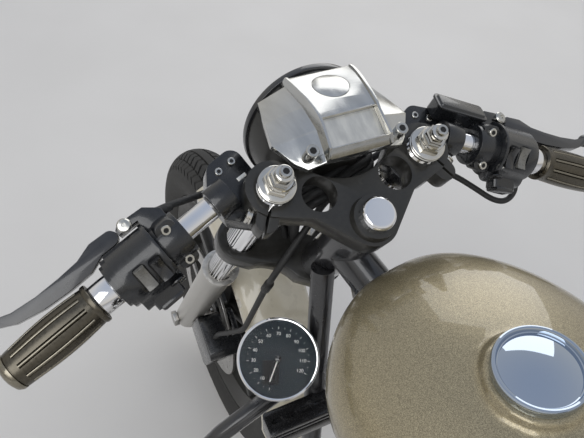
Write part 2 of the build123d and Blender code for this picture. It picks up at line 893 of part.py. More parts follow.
# Rear wheel with the belt pulley on the right and a disc on the left
pulley_radius = 112.0
pulley_inner_y = 74.0
belt_width = 25.0
belt_thickness = 6.0
belt_gap = 1.0
front_pulley_radius = 52.0
with BuildPart() as rear_tyre:
    add(tyre_ring(rear_tyre_radius, rear_tyre_width, rear_rim_radius))
rear_tyre.part.label = "rear_tyre"

with BuildPart() as rear_wheel:
    add(wheel_casting(rear_rim_radius, rear_tyre_width / 2, rear_hub_half_width))
rear_wheel.part.label = "rear_wheel"

with BuildPart() as rear_pulley:
    with BuildSketch(Plane.XZ.offset(rear_hub_half_width + seat_gap)):
        Circle(hub_radius + 14)
        Circle(axle_radius + 8, mode=Mode.SUBTRACT)
    extrude(amount=pulley_inner_y - rear_hub_half_width - seat_gap)
    with BuildSketch(Plane.XZ.offset(pulley_inner_y)):
        Circle(pulley_radius)
        Circle(axle_radius + 8, mode=Mode.SUBTRACT)
        with PolarLocations(pulley_radius * 0.58, 6):
            Circle(24, mode=Mode.SUBTRACT)
    extrude(amount=belt_width)
rear_pulley.part.label = "rear_pulley"

with BuildPart() as rear_disc:
    add(brake_disc(rear_disc_radius, rear_hub_half_width, disc_thickness))
rear_disc.part.label = "rear_disc"

# Axles with their collars
with BuildPart() as front_axle:
    with BuildSketch(Plane.XZ):
        with Locations((fork_offset, -fork_length)):
            Circle(axle_radius)
    extrude(amount=fork_half + slider_radius + 6, both=True)
    for side in (1, -1):
        with BuildSketch(Plane.XZ.offset(side * (front_hub_half_width + running_gap))):
            with Locations((fork_offset, -fork_length)):
                Circle(collar_radius)
        extrude(amount=side * (fork_half - slider_radius - front_hub_half_width - running_gap - seat_gap))
    with BuildSketch(Plane.XZ.offset(fork_half + slider_radius + seat_gap)):
        with Locations((fork_offset, -fork_length)):
            RegularPolygon(16, 6)
    extrude(amount=10)
    with BuildSketch(Plane.XZ.offset(-fork_half - slider_radius - seat_gap)):
        with Locations((fork_offset, -fork_length)):
            RegularPolygon(16, 6)
    extrude(amount=-10)
front_axle.part.label = "front_axle"

with BuildPart() as rear_axle:
    with BuildSketch(Plane.XZ):
        Circle(axle_radius)
    extrude(amount=arm_outer + 14, both=True)
    for side, inner in ((1, pulley_inner_y + belt_width), (-1, rear_hub_half_width)):
        with BuildSketch(Plane.XZ.offset(side * (inner + running_gap))):
            Circle(collar_radius)
        extrude(amount=side * (arm_inner - inner - running_gap - seat_gap))
        with BuildSketch(Plane.XZ.offset(side * (arm_outer + seat_gap))):
            RegularPolygon(18, 6)
        extrude(amount=side * 12)
rear_axle.part.label = "rear_axle"

# Front fender: part of a turn round the front axle, in the steering frame
def fender(inner_radius, half_width, start, sweep_angle):
    """A curved guard of U section round Y, from an angle above forward to a further one."""
    with BuildPart() as made:
        with BuildSketch(Plane.XY):
            with BuildLine():
                Line((inner_radius - 44, half_width), (inner_radius - 16, half_width))
                ThreePointArc(
                    (inner_radius - 16, half_width), (inner_radius + fender_wall, 0), (inner_radius - 16, -half_width)
                )
                Line((inner_radius - 16, -half_width), (inner_radius - 44, -half_width))
                Line((inner_radius - 44, -half_width), (inner_radius - 44, -half_width + fender_wall))
                Line((inner_radius - 44, -half_width + fender_wall), (inner_radius - 17, -half_width + fender_wall))
                ThreePointArc(
                    (inner_radius - 17, -half_width + fender_wall),
                    (inner_radius, 0),
                    (inner_radius - 17, half_width - fender_wall),
                )
                Line((inner_radius - 17, half_width - fender_wall), (inner_radius - 44, half_width - fender_wall))
                Line((inner_radius - 44, half_width - fender_wall), (inner_radius - 44, half_width))
            make_face()
        revolve(axis=Axis.Y, revolution_arc=sweep_angle)
    return Location((0, 0, 0), (0, -start, 0)) * made.part


front_fender_rear = 178.0
front_fender_sweep = 150.0
with BuildPart() as front_fender:
    add(
        Location((fork_offset, 0, -fork_length))
        * fender(front_fender_radius, front_fender_half, front_fender_rear - rake, front_fender_sweep)
    )
front_fender.part.label = "front_fender"

# Front caliper behind the left slider, its slot round the disc
front_disc_y = front_hub_half_width + seat_gap
caliper_slot_gap = 5.0
with BuildPart() as brake_caliper:
    with BuildSketch(Plane.XZ.offset(-30)):
        with Locations((-10, -fork_length + 78)):
            RectangleRounded(88, 100, 14)
    extrude(amount=-70)
    with BuildSketch(Plane.XZ.offset(-front_disc_y + caliper_slot_gap)):
        with Locations((fork_offset, -fork_length)):
            Circle(front_disc_radius + caliper_slot_gap)
    extrude(amount=-disc_thickness - 2 * caliper_slot_gap, mode=Mode.SUBTRACT)
    with BuildSketch(Plane.XY.offset(-fork_length)):
        with Locations((fork_offset, fork_half)):
            Circle(slider_radius + seat_gap)
    extrude(amount=200, mode=Mode.SUBTRACT)
brake_caliper.part.label = "brake_caliper"


# Brake hose: from the right perch in front of the stem, behind the left arm of the lower clamp and down
# to the caliper, with a crimped ferrule below the clamp
def at_right_bar(x, y, along):
    """A place given in the right bar's own frame."""
    spot = left_bar.from_local_coords(Vector(x, y, along))
    return (spot.X, -spot.Y, spot.Z)


hose_radius = 4.5
ferrule_radius = 6.5
caliper_top = 128 - fork_length
hose_route = [
    at_right_bar(32, perch_arm_half + seat_gap, 48),
    at_right_bar(32, perch_arm_half + 30, 48),
    (98, -92, -104),
    (58, -4, -118),
    (0, 69, -180),
    (-4, 64, -262),
    (-34, 72, -430),
    (-14, 80, caliper_top + 48),
    (-14, 80, caliper_top + seat_gap),
]
hose_bends = [18, 50, 40, 50, 120, 150, 60]
with BuildPart() as brake_hose:
    add(tube(hose_route, hose_bends, hose_radius))
    add(rod((-2.4, 65.9, -222), (-3.8, 64.3, -256), ferrule_radius))
brake_hose.part.label = "brake_hose"

# Steering head and backbone
neck = in_upright(0, 0, -backbone_drop)
backbone_bend = (980.0, 0.0, 868.0)
backbone_slope = (backbone_bend[2] - backbone_end[2]) / (backbone_bend[0] - backbone_end[0])
tunnel_room = 8.0
tank_lug_radius = 11.0
tank_lug_places = (tank_tail_x + 90, tank_nose_x - 100)
backbone_route = [
    (neck.X, 0, neck.Z),
    backbone_bend,
    backbone_end,
    (pivot_x + 10, 0, rail_top_z),
]
head_top = -top_clamp_thickness - head_bearing_gap
head_bottom = -lower_clamp_top_drop + head_bearing_gap
with BuildPart() as frame_backbone:
    add(tube(backbone_route, [200, 60], backbone_radius))
    with BuildSketch(steering.offset(head_bottom)):
        Circle(head_tube_radius)
    extrude(amount=head_top - head_bottom)
    with BuildSketch(Plane.XZ):
        with Locations((pivot_x + 10, rail_top_z)):
            Circle(frame_tube_radius)
    extrude(amount=pivot_half - frame_tube_radius - seat_gap, both=True)
    with BuildSketch(Plane.XZ):
        for x in tank_lug_places:
            with Locations((x, backbone_end[2] + (x - backbone_end[0]) * backbone_slope)):
                Circle(tank_lug_radius)
    extrude(amount=backbone_radius + tunnel_room - seat_gap, both=True)
    with BuildSketch(steering.offset(head_bottom)):
        Circle(stem_radius + running_gap)
    extrude(amount=head_top - head_bottom, mode=Mode.SUBTRACT)
frame_backbone.part.label = "frame_backbone"

# Frame tubes: each side runs from the steering head down, back under the engine, up behind it and on
# under the seat to the rear fender
rail_start = in_upright(-12, 24, -130)
rail_route = [
    (rail_start.X, rail_start.Y, rail_start.Z),
    (1085, 75, 480),
    (1050, rail_low_half, rail_low_z),
    (pivot_x + 30, rail_low_half, rail_low_z),
    (pivot_x, pivot_half, pivot_z - 100),
    (pivot_x + 10, pivot_half, rail_top_z),
    (pivot_x - 110, seat_rail_half, rail_top_z),
    (40, seat_rail_half + 8, rail_top_z - 24),
]
rail_bends = [300, 70, 50, 60, 40, 60]
shock_stud_radius = 8.0
rail_tube = tube(rail_route, rail_bends, frame_tube_radius)
rail_shock_boss = rod(
    (shock_high[0], seat_rail_half - 2, shock_high[1]), (shock_high[0], shock_y - 14, shock_high[1]), 13
)
rail_shock_stud = rod(
    (shock_high[0], shock_y - 14, shock_high[1]), (shock_high[0], shock_y + 16, shock_high[1]), shock_stud_radius
)
strut_angle = 70.0
strut_reach = rear_fender_radius - 30
strut_x = strut_reach * cos(radians(strut_angle))
strut_z = rear_tyre_radius + strut_reach * sin(radians(strut_angle))
fender_boss = rod((strut_x, rear_fender_half + seat_gap, strut_z), (strut_x, rear_fender_half + 12, strut_z), 14)
fender_strut = rod((strut_x, rear_fender_half + 11, strut_z), (strut_x, seat_rail_half + 4, rail_top_z - 22), 8)
pivot_boss = rod((pivot_x, pivot_half - 12, pivot_z), (pivot_x, pivot_half + 18, pivot_z), 26)
head_clear = (steering.location * Location((0, 0, head_bottom - 40))) * Cylinder(
    head_tube_radius + seat_gap, head_top - head_bottom + 80, align=(Align.CENTER, Align.CENTER, Align.MIN)
)
backbone_clear = tube(backbone_route, [200, 60], backbone_radius + seat_gap)
rail_clear = tube(rail_route, rail_bends, frame_tube_radius + seat_gap)


def frame_side(side):
    """One side of the frame; side is 1 for the left and -1 for the right."""
    with BuildPart() as made:
        add(rail_tube)
        add(rail_shock_boss)
        add(rail_shock_stud)
        add(pivot_boss)
        add(fender_boss)
        add(fender_strut)
        with BuildSketch(Plane.XZ):
            with Locations((pivot_x, pivot_z)):
                Circle(pivot_pin_radius + seat_gap)
        extrude(amount=-2 * arm_outer, mode=Mode.SUBTRACT)
        add(head_clear, mode=Mode.SUBTRACT)
        add(backbone_clear, mode=Mode.SUBTRACT)
        if side < 0:
            mirror(about=Plane.XZ, mode=Mode.REPLACE)
    return made.part


with BuildPart() as frame_left:
    add(frame_side(1))
frame_left.part.label = "frame_left"
with BuildPart() as frame_right:
    add(frame_side(-1))
frame_right.part.label = "frame_right"

# Swingarm with its pivot pin and shock studs
with BuildPart() as swingarm:
    for side in (1, -1):
        with BuildSketch(Plane.XZ.offset(-side * arm_inner)):
            with Locations((pivot_x, pivot_z)):
                Circle(arm_height / 2 + 4)
            with Locations((-8, rear_tyre_radius)):
                Circle(arm_height / 2)
            make_hull()
        extrude(amount=-side * (arm_outer - arm_inner))
        add(
            rod(
                (pivot_x, side * (pivot_half + 18 + seat_gap), pivot_z),
                (pivot_x, side * (arm_inner + 2), pivot_z),
                pivot_pin_radius + 8,
            )
        )
        add(
            rod(
                (shock_low[0], side * (arm_outer - 2), shock_low[1]),
                (shock_low[0], side * (shock_y - 14), shock_low[1]),
                13,
            )
        )
        add(
            rod(
                (shock_low[0], side * (arm_outer - 2), shock_low[1]),
                (shock_low[0], side * (shock_y + 16), shock_low[1]),
                shock_stud_radius,
            )
        )
    add(rod((pivot_x, -arm_outer - 6, pivot_z), (pivot_x, arm_outer + 6, pivot_z), pivot_pin_radius))
    with BuildSketch(Plane.XZ):
        with Locations((0, rear_tyre_radius)):
            Circle(axle_radius + seat_gap)
    extrude(amount=arm_outer + 10, both=True, mode=Mode.SUBTRACT)
swingarm.part.label = "swingarm"

# Rear caliper on the left arm, its slot round the disc
rear_disc_y = rear_hub_half_width + seat_gap
rear_caliper_x = 92.0
rear_caliper_z = rear_tyre_radius + 76
rear_caliper_outer = 100.0
with BuildPart() as rear_caliper:
    with BuildSketch(Plane.XZ.offset(-rear_disc_y + 12)):
        with Locations((rear_caliper_x, rear_caliper_z)):
            RectangleRounded(92, 66, 16)
    extrude(amount=rear_disc_y - 12 - rear_caliper_outer)
    with BuildSketch(Plane.XZ.offset(-arm_inner + seat_gap)):
        with Locations((rear_caliper_x, rear_caliper_z)):
            Circle(20)
        with Locations((rear_caliper_x - 6, rear_tyre_radius + 12)):
            Circle(14)
        make_hull()
    extrude(amount=arm_inner - seat_gap - rear_caliper_outer + 6)
    with BuildSketch(Plane.XZ.offset(-rear_disc_y + caliper_slot_gap)):
        with Locations((0, rear_tyre_radius)):
            Circle(rear_disc_radius + caliper_slot_gap)
    extrude(amount=-disc_thickness - 2 * caliper_slot_gap, mode=Mode.SUBTRACT)
rear_caliper.part.label = "rear_caliper"

# Rear shocks: eyes on the studs, a damper and a coil spring drawn as stacked turns
shock_length = sqrt((shock_high[0] - shock_low[0]) ** 2 + (shock_high[1] - shock_low[1]) ** 2)
shock_lean = degrees(asin((shock_high[0] - shock_low[0]) / shock_length))
shock_turns = 9
with BuildPart() as rear_shocks:
    for side in (1, -1):
        base = Plane(
            origin=(shock_low[0], side * shock_y, shock_low[1]),
            x_dir=(cos(radians(shock_lean)), 0, -sin(radians(shock_lean))),
            z_dir=(sin(radians(shock_lean)), 0, cos(radians(shock_lean))),
        )
        with BuildSketch(base.offset(14)):
            Circle(15)
        extrude(amount=shock_length - 28)
        with BuildSketch(base.offset(40)):
            Circle(shock_spring_radius)
        extrude(amount=8)
        with BuildSketch(base.offset(shock_length - 60)):
            Circle(shock_spring_radius)
        extrude(amount=30)
        for turn in range(shock_turns):
            pitch = (shock_length - 108) / shock_turns
            with BuildSketch(base.offset(48 + pitch * (turn + 0.25))):
                Circle(shock_spring_radius - 2)
            extrude(amount=pitch / 2)
        for place in (shock_low, shock_high):
            with BuildSketch(Plane.XZ.offset(-side * shock_y)):
                with Locations(place):
                    Circle(17)
            extrude(amount=13, both=True)
            with BuildSketch(Plane.XZ.offset(-side * shock_y)):
                with Locations(place):
                    Circle(shock_stud_radius + seat_gap)
            extrude(amount=40, both=True, mode=Mode.SUBTRACT)
rear_shocks.part.label = "rear_shocks"

# Engine: case, two finned cylinders, heads, rocker covers, and the covers on both sides
def cylinder_plane(angle):
    """A plane on the crank's axis whose Z runs up a cylinder that leans by an angle."""
    return Plane(
        origin=(crank_x, 0, crank_z),
        x_dir=(cos(radians(angle)), 0, -sin(radians(angle))),
        z_dir=(sin(radians(angle)), 0, cos(radians(angle))),
    )


with BuildPart() as crankcase:
    with BuildSketch(Plane.XZ):
        with Locations((crank_x, crank_z)):
            Circle(case_radius)
        with Locations((gearbox_x, crank_z)):
            Circle(gearbox_radius)
        make_hull()
    extrude(amount=case_half_width, both=True)
    for angle in (cylinder_angle, -cylinder_angle):
        with BuildSketch(cylinder_plane(angle)):
            RectangleRounded(124, 124, 20)
        extrude(amount=deck)
    with BuildSketch(Plane.XZ.offset(case_half_width)):
        with Locations((gearbox_x, crank_z)):
            Circle(front_pulley_radius)
    extrude(amount=pulley_inner_y + belt_width - case_half_width)
crankcase.part.label = "crankcase"

head_base = deck + cylinder_height
rocker_base = head_base + head_height
rocker_half_x = 56.0
rocker_half_y = 96.0


def barrel_stack(angle):
    """A finned cylinder and its head, split from its twin along the engine's middle."""
    along = cylinder_plane(angle)
    with BuildPart() as made:
        with BuildSketch(along.offset(deck + seat_gap)):
            Circle(cylinder_core_radius)
        extrude(amount=rocker_base - deck - seat_gap)
        count = int((rocker_base - deck - fin_thickness) / fin_pitch)
        for number in range(count):
            rise = deck + seat_gap + 3 + number * fin_pitch
            half = cylinder_fin_half + (4 if rise > head_base - fin_pitch else 0)
            with BuildSketch(along.offset(rise)):
                RectangleRounded(2 * half, 2 * half, 26)
            extrude(amount=fin_thickness)
        with BuildSketch(along.offset(rocker_base - 24)):
            RectangleRounded(2 * rocker_half_x, 2 * rocker_half_y - 16, 20)
        extrude(amount=24)
        side = 1 if angle > 0 else -1
        with Locations((crank_x - side * (150 - cylinder_split / 2), 0, crank_z + 300)):
            Box(300, 400, 700, mode=Mode.SUBTRACT)
    return made.part


with BuildPart() as cylinders:
    add(barrel_stack(cylinder_angle))
    add(barrel_stack(-cylinder_angle))
cylinders.part.label = "cylinders"

with BuildPart() as rocker_covers:
    for angle in (cylinder_angle, -cylinder_angle):
        along = cylinder_plane(angle)
        with BuildSketch(along.offset(rocker_base + seat_gap)):
            RectangleRounded(2 * rocker_half_x, 2 * rocker_half_y, 22)
        extrude(amount=rocker_height * 0.55)
        with BuildSketch(along.offset(rocker_base + seat_gap + rocker_height * 0.55)):
            RectangleRounded(2 * rocker_half_x - 10, 2 * rocker_half_y - 12, 20)
        extrude(amount=rocker_height * 0.45, taper=18)
rocker_covers.part.label = "rocker_covers"

primary_width = 50.0
with BuildPart() as primary_cover:
    with BuildSketch(Plane.XZ.offset(-case_half_width - seat_gap)):
        with Locations((crank_x, crank_z)):
            Circle(case_radius - 6)
        with Locations((gearbox_x, crank_z)):
            Circle(gearbox_radius + 6)
        make_hull()
    extrude(amount=-primary_width)
    fillet(primary_cover.faces().sort_by(Axis.Y)[-1].edges(), radius=16)
primary_cover.part.label = "primary_cover"

lifter_reach = 132.0
with BuildPart() as gear_cover:
    with BuildSketch(Plane.XZ.offset(case_half_width + seat_gap)):
        with Locations((crank_x + 12, crank_z - 8)):
            Circle(84)
        for side in (1, -1):
            with Locations(
                (
                    crank_x + side * lifter_reach * sin(radians(cylinder_angle)),
                    crank_z + lifter_reach * cos(radians(cylinder_angle)),
                )
            ):
                Circle(26)
        make_hull()
    extrude(amount=34)
    fillet(gear_cover.faces().sort_by(Axis.Y)[0].edges(), radius=8)
gear_cover.part.label = "gear_cover"

pushrod_y = -88.0
pushrod_radius = 7.5
pushrod_base = lifter_reach + 27
with BuildPart() as pushrod_tubes:
    for angle in (cylinder_angle, -cylinder_angle):
        with BuildSketch(cylinder_plane(angle).offset(pushrod_base)):
            with Locations((-17, pushrod_y), (17, pushrod_y)):
                Circle(pushrod_radius)
        extrude(amount=rocker_base - 24 - seat_gap - pushrod_base)
        with BuildSketch(cylinder_plane(angle).offset(pushrod_base)):
            with Locations((-17, pushrod_y), (17, pushrod_y)):
                Circle(pushrod_radius + 3)
        extrude(amount=16)
pushrod_tubes.part.label = "pushrod_tubes"

# Carburettor between the heads and the air cleaner on the right
intake_x = crank_x
intake_z = crank_z + intake_rise
intake_radius = (intake_z - crank_z) * sin(radians(cylinder_angle)) - cylinder_fin_half - 4 - seat_gap
intake_reach = 84.0
carburettor_radius = 31.0
carburettor_face = 126.0
with BuildPart() as carburettor:
    with BuildSketch(Plane.XZ):
        with Locations((intake_x, intake_z)):
            Circle(intake_radius)
    extrude(amount=intake_reach)
    with BuildSketch(Plane.XZ.offset(intake_reach)):
        with Locations((intake_x, intake_z)):
            Circle(carburettor_radius)
    extrude(amount=carburettor_face - intake_reach)
carburettor.part.label = "carburettor"

with BuildPart() as air_cleaner:
    with BuildSketch(Plane.XZ.offset(carburettor_face + seat_gap)):
        with Locations((intake_x - 30, intake_z - 6)):
            Circle(84)
        with Locations((intake_x + 30, intake_z - 6)):
            Circle(84)
        make_hull()
    extrude(amount=62)
    fillet(air_cleaner.faces().sort_by(Axis.Y)[0].edges(), radius=20)
air_cleaner.part.label = "air_cleaner"

# Exhausts on the right, each a header and a muffler
header_radius = 22.0
muffler_radius = 37.0
exhaust_y = -172.0
port_face = cylinder_fin_half + 4 + seat_gap
port_rise = head_base + 40
port_y = -24.0


def port_places(angle, side):
    """Where a header leaves its head and where its first run ends."""
    along = cylinder_plane(angle)
    face = along.from_local_coords(Vector(side * port_face, port_y, port_rise))
    out = along.from_local_coords(Vector(side * (port_face + 34), port_y, port_rise))
    return (face.X, face.Y, face.Z), (out.X, out.Y, out.Z)


low_muffler_z = 182.0
high_muffler_z = 262.0
front_header = [
    *port_places(cylinder_angle, 1),
    (crank_x + 230, -75, 520),
    (crank_x + 212, -160, 380),
    (crank_x + 140, exhaust_y, low_muffler_z),
    (crank_x - 200, exhaust_y, low_muffler_z),
]
rear_header = [
    *port_places(-cylinder_angle, -1),
    (crank_x - 212, -100, 500),
    (crank_x - 200, -165, 400),
    (crank_x - 240, exhaust_y, high_muffler_z),
    (crank_x - 360, exhaust_y, high_muffler_z),
]
with BuildPart() as exhausts:
    add(tube(front_header, [30, 60, 100, 100], header_radius))
    add(rod((crank_x - 196, exhaust_y, low_muffler_z), (-60, exhaust_y, low_muffler_z + 8), muffler_radius))
    add(tube(rear_header, [26, 50, 60, 60], header_radius))
    add(rod((crank_x - 356, exhaust_y, high_muffler_z), (-40, exhaust_y, high_muffler_z + 8), muffler_radius))
exhausts.part.label = "exhausts"

# Final drive belt and its front pulley


def belt_outline(extra):
    """Centres and radii of the belt's two ends, with an extra added to each radius."""
    return [(0, rear_tyre_radius, pulley_radius + extra), (gearbox_x, crank_z, front_pulley_radius + extra)]


with BuildPart() as drive_belt:
    with BuildSketch(Plane.XZ.offset(pulley_inner_y)):
        for x, z, radius in belt_outline(belt_gap + belt_thickness):
            with Locations((x, z)):
                Circle(radius)
        make_hull()
    extrude(amount=belt_width)
    with BuildSketch(Plane.XZ.offset(pulley_inner_y)):
        for x, z, radius in belt_outline(belt_gap):
            with Locations((x, z)):
                Circle(radius)
        make_hull()
    extrude(amount=belt_width, mode=Mode.SUBTRACT)
drive_belt.part.label = "drive_belt"

def body_section(x, half, top, bottom, crown, shoulder, tuck):
    """A rounded section across the bike: crowned top, shoulders and sides that tuck in to a flat floor."""
    rise = sqrt((crown - shoulder) ** 2 - (half - shoulder) ** 2)
    shoulder_z = top - crown + rise
    lean_in = (half - shoulder) / (crown - shoulder)
    meet_y = crown * lean_in
    meet_z = top - crown + crown * sqrt(1 - lean_in**2)
    with BuildSketch(Plane(origin=(x, 0, 0), x_dir=(0, 1, 0), z_dir=(1, 0, 0))) as made:
        with BuildLine():
            ThreePointArc((-meet_y, meet_z), (0, top), (meet_y, meet_z))
            meet_way = (sqrt(1 - lean_in**2), -lean_in)
            shoulder_arc = TangentArc((meet_y, meet_z), (half, shoulder_z), tangent=meet_way)
            side_arc = TangentArc((half, shoulder_z), (half - tuck, bottom), tangent=(0, -1))
            Line((half - tuck, bottom), (tuck - half, bottom))
            mirror(shoulder_arc, about=Plane.YZ)
            mirror(side_arc, about=Plane.YZ)
        make_face()
    return made.sketch


# Fuel tank: a teardrop lofted through sections, open along its middle for the backbone
tank_length = tank_nose_x - tank_tail_x
# columns: share of the length back from the nose, share of the half width, drop of the top, rise of the floor
tank_sections = [
    (0.0, 0.24, 56, 22),
    (0.05, 0.58, 36, 12),
    (0.14, 0.84, 20, 4),
    (0.27, 0.985, 6, 0),
    (0.45, 1.0, 0, 0),
    (0.66, 0.86, 12, -4),
    (0.85, 0.62, 42, -8),
    (1.0, 0.42, 78, -10),
]
with BuildPart() as fuel_tank:
    for back, width, drop, rise in tank_sections:
        half = tank_half_width * width
        add(
            body_section(
                tank_nose_x - back * tank_length,
                half,
                tank_top - drop,
                tank_bottom + rise,
                tank_crown_radius,
                min(0.5 * half, 62),
                0.2 * half,
            )
        )
    loft()
    with BuildSketch(Plane.XY.offset(tank_top - 40)):
        with Locations((cap_x, 0)):
            Circle(cap_bung_radius)
    extrude(amount=cap_bung_top - tank_top + 40)
    with BuildSketch(Plane.XZ):
        with BuildLine():
            Polyline(
                (tank_nose_x + 60, tank_bottom - 60),
                (tank_nose_x + 60, neck.Z + backbone_radius + 10),
                (backbone_bend[0], backbone_bend[2] + backbone_radius + tunnel_room),
                (tank_tail_x - 40, backbone_end[2] + backbone_radius + tunnel_room),
                (tank_tail_x - 40, tank_bottom - 60),
                close=True,
            )
        make_face()
    extrude(amount=backbone_radius + tunnel_room, both=True, mode=Mode.SUBTRACT)
    with BuildSketch(steering.offset(head_bottom)):
        Circle(head_tube_radius + 6)
    extrude(amount=head_top - head_bottom + 60, mode=Mode.SUBTRACT)
fuel_tank.part.label = "fuel_tank"

with BuildPart() as fuel_cap:
    with BuildSketch(Plane(origin=(cap_x, 0, cap_bung_top), x_dir=(1, 0, 0), z_dir=(0, -1, 0))):
        with BuildLine():
            Polyline((0, 0), (cap_radius, 0), (cap_radius, 9))
            ThreePointArc((cap_radius, 9), (cap_radius - 3, 12), (cap_radius - 6, 9.5))
            Line((cap_radius - 6, 9.5), (cap_radius - 9, 9.5))
            TangentArc((0, cap_height), (cap_radius - 9, 9.5), tangent=(1, 0))
            Line((0, cap_height), (0, 0))
        make_face()
    revolve(axis=Axis((cap_x, 0, 0), (0, 0, 1)))
fuel_cap.part.label = "fuel_cap"

# Seat: one long pad with a dip for the rider and a step up for the passenger. Its nose straddles the
# backbone behind the tank.
seat_floor = rail_top_z + frame_tube_radius + seat_gap
# columns: place along the bike, half width, top
seat_sections = [
    (592, 66, 876),
    (530, 98, 832),
    (440, 132, 788),
    (330, 126, 800),
    (220, 110, 818),
    (90, 92, 812),
]
with BuildPart() as seat:
    for x, half, top in seat_sections:
        add(body_section(x, half, top, seat_floor, 420, 22, 6))
    loft()
    with BuildSketch(Plane.XZ):
        with BuildLine():
            Polyline(
                (pivot_x - 26, seat_floor - 40),
                (pivot_x - 26, rail_top_z + 40),
                (backbone_end[0] - 32, backbone_end[2] + backbone_radius + 6),
                (backbone_end[0] + 60, backbone_end[2] + backbone_radius + 14),
                (backbone_end[0] + 60, seat_floor - 40),
                close=True,
            )
        make_face()
    extrude(amount=backbone_radius + 8, both=True, mode=Mode.SUBTRACT)
seat.part.label = "seat"

# Rear fender, tail lamp and turn signals
rear_fender_rear = 168.0
rear_fender_sweep = 142.0
with BuildPart() as rear_fender:
    add(
        Location((0, 0, rear_tyre_radius))
        * fender(rear_fender_radius, rear_fender_half, rear_fender_rear, rear_fender_sweep)
    )
rear_fender.part.label = "rear_fender"

tail_angle = 150.0
tail = Plane(
    origin=(
        (rear_fender_radius + fender_wall) * cos(radians(tail_angle)),
        0,
        rear_tyre_radius + (rear_fender_radius + fender_wall) * sin(radians(tail_angle)),
    ),
    x_dir=(0, 1, 0),
    z_dir=(cos(radians(tail_angle)), 0, sin(radians(tail_angle))),
)
with BuildPart() as tail_lamp:
    with BuildSketch(tail.offset(seat_gap)):
        RectangleRounded(86, 58, 22)
    extrude(amount=40, taper=6)
tail_lamp.part.label = "tail_lamp"

signal_x = 52.0
signal_z = rail_top_z - 25
with BuildPart() as rear_signals:
    add(rod((signal_x, seat_rail_half + 8, signal_z), (signal_x, 182, signal_z), 7))
    with BuildSketch(Plane.YZ.offset(signal_x + 26)):
        with Locations((196, signal_z)):
            Circle(24)
    extrude(amount=-52)
    add(rail_clear, mode=Mode.SUBTRACT)
    mirror(about=Plane.XZ)
rear_signals.part.label = "rear_signals"

# Side covers behind the engine
side_box_x = 428.0
side_box_z = 548.0
with BuildPart() as side_covers:
    with BuildSketch(Plane.XZ.offset(36)):
        with Locations((side_box_x, side_box_z)):
            RectangleRounded(156, 210, 26)
    extrude(amount=114)
    fillet(side_covers.faces().sort_by(Axis.Y)[0].edges(), radius=14)
    for z in (side_box_z - 70, side_box_z + 60):
        add(rod((side_box_x + 70, -pivot_half, z), (pivot_x + 5, -pivot_half, z), 9))
    add(rail_clear.mirror(Plane.XZ), mode=Mode.SUBTRACT)
    mirror(about=Plane.XZ)
side_covers.part.label = "side_covers"

# Foot pegs and levers on brackets at the lower frame tubes
peg_x = 905.0
peg_z = 300.0
with BuildPart() as foot_controls:
    for side in (1, -1):
        with BuildSketch(Plane.XZ.offset(-side * (rail_low_half + frame_tube_radius + seat_gap))):
            with Locations((peg_x, rail_low_z)):
                Circle(20)
            with Locations((peg_x, peg_z)):
                Circle(20)
            make_hull()
        extrude(amount=-side * 8)
        add(rod((peg_x, side * 132, peg_z), (peg_x, side * 230, peg_z), 9))
        add(rod((peg_x, side * 226, peg_z), (peg_x, side * 326, peg_z), 17))
        add(rod((peg_x, side * 216, peg_z), (peg_x + 126, side * 216, peg_z - 20), 6))
        add(rod((peg_x + 124, side * 206, peg_z - 20), (peg_x + 124, side * 268, peg_z - 20), 9))
foot_controls.part.label = "foot_controls"

# Engine guard: one bowed tube on each side, from the down tube out and back to the same tube
guard_radius = 13.0


def on_run(start, end, height):
    """The place at a height on a straight run of tube."""
    share = (height - start[2]) / (end[2] - start[2])
    return tuple(a + share * (b - a) for a, b in zip(start, end))


guard_route = [
    on_run(rail_route[0], rail_route[1], 690),
    (1138, 192, 600),
    (1150, 302, 500),
    (1140, 302, 390),
    (1090, 200, 262),
    on_run(rail_route[1], rail_route[2], 250),
]
guard_bends = [60, 60, 60, 60]
with BuildPart() as engine_guard:
    add(tube(guard_route, guard_bends, guard_radius))
    add(rail_clear, mode=Mode.SUBTRACT)
    mirror(about=Plane.XZ)
engine_guard.part.label = "engine_guard"

# Gauge beside the steering head and its bracket
gauge_normal = Vector(-0.44, 0.26, 0.86).normalized()
gauge = Plane(origin=(gauge_x, gauge_y, gauge_z), x_dir=(0.86, 0, 0.44), z_dir=gauge_normal)
with BuildPart() as speedometer:
    with BuildSketch(gauge.offset(-gauge_depth)):
        Circle(gauge_radius - 6)
    extrude(amount=gauge_depth)
    with BuildSketch(gauge.offset(-12)):
        Circle(gauge_radius)
    extrude(amount=12)
    with BuildSketch(gauge.offset(-3)):
        Circle(gauge_radius - 5)
    extrude(amount=3, mode=Mode.SUBTRACT)
speedometer.part.label = "speedometer"
gauge_back = gauge.origin - gauge_normal * (gauge_depth + seat_gap)
with BuildPart() as speedometer_bracket:
    with BuildSketch(gauge.offset(-gauge_depth - seat_gap)):
        Circle(30)
    extrude(amount=-5)
    gauge_grip = on_run(rail_route[0], rail_route[1], gauge_z - 32)
    add(rod((gauge_back.X, gauge_back.Y, gauge_back.Z - 3), gauge_grip, 9))
    add(rail_clear, mode=Mode.SUBTRACT)
    with BuildSketch(gauge.offset(-gauge_depth - seat_gap)):
        Circle(40)
    extrude(amount=20, mode=Mode.SUBTRACT)
speedometer_bracket.part.label = "speedometer_bracket"

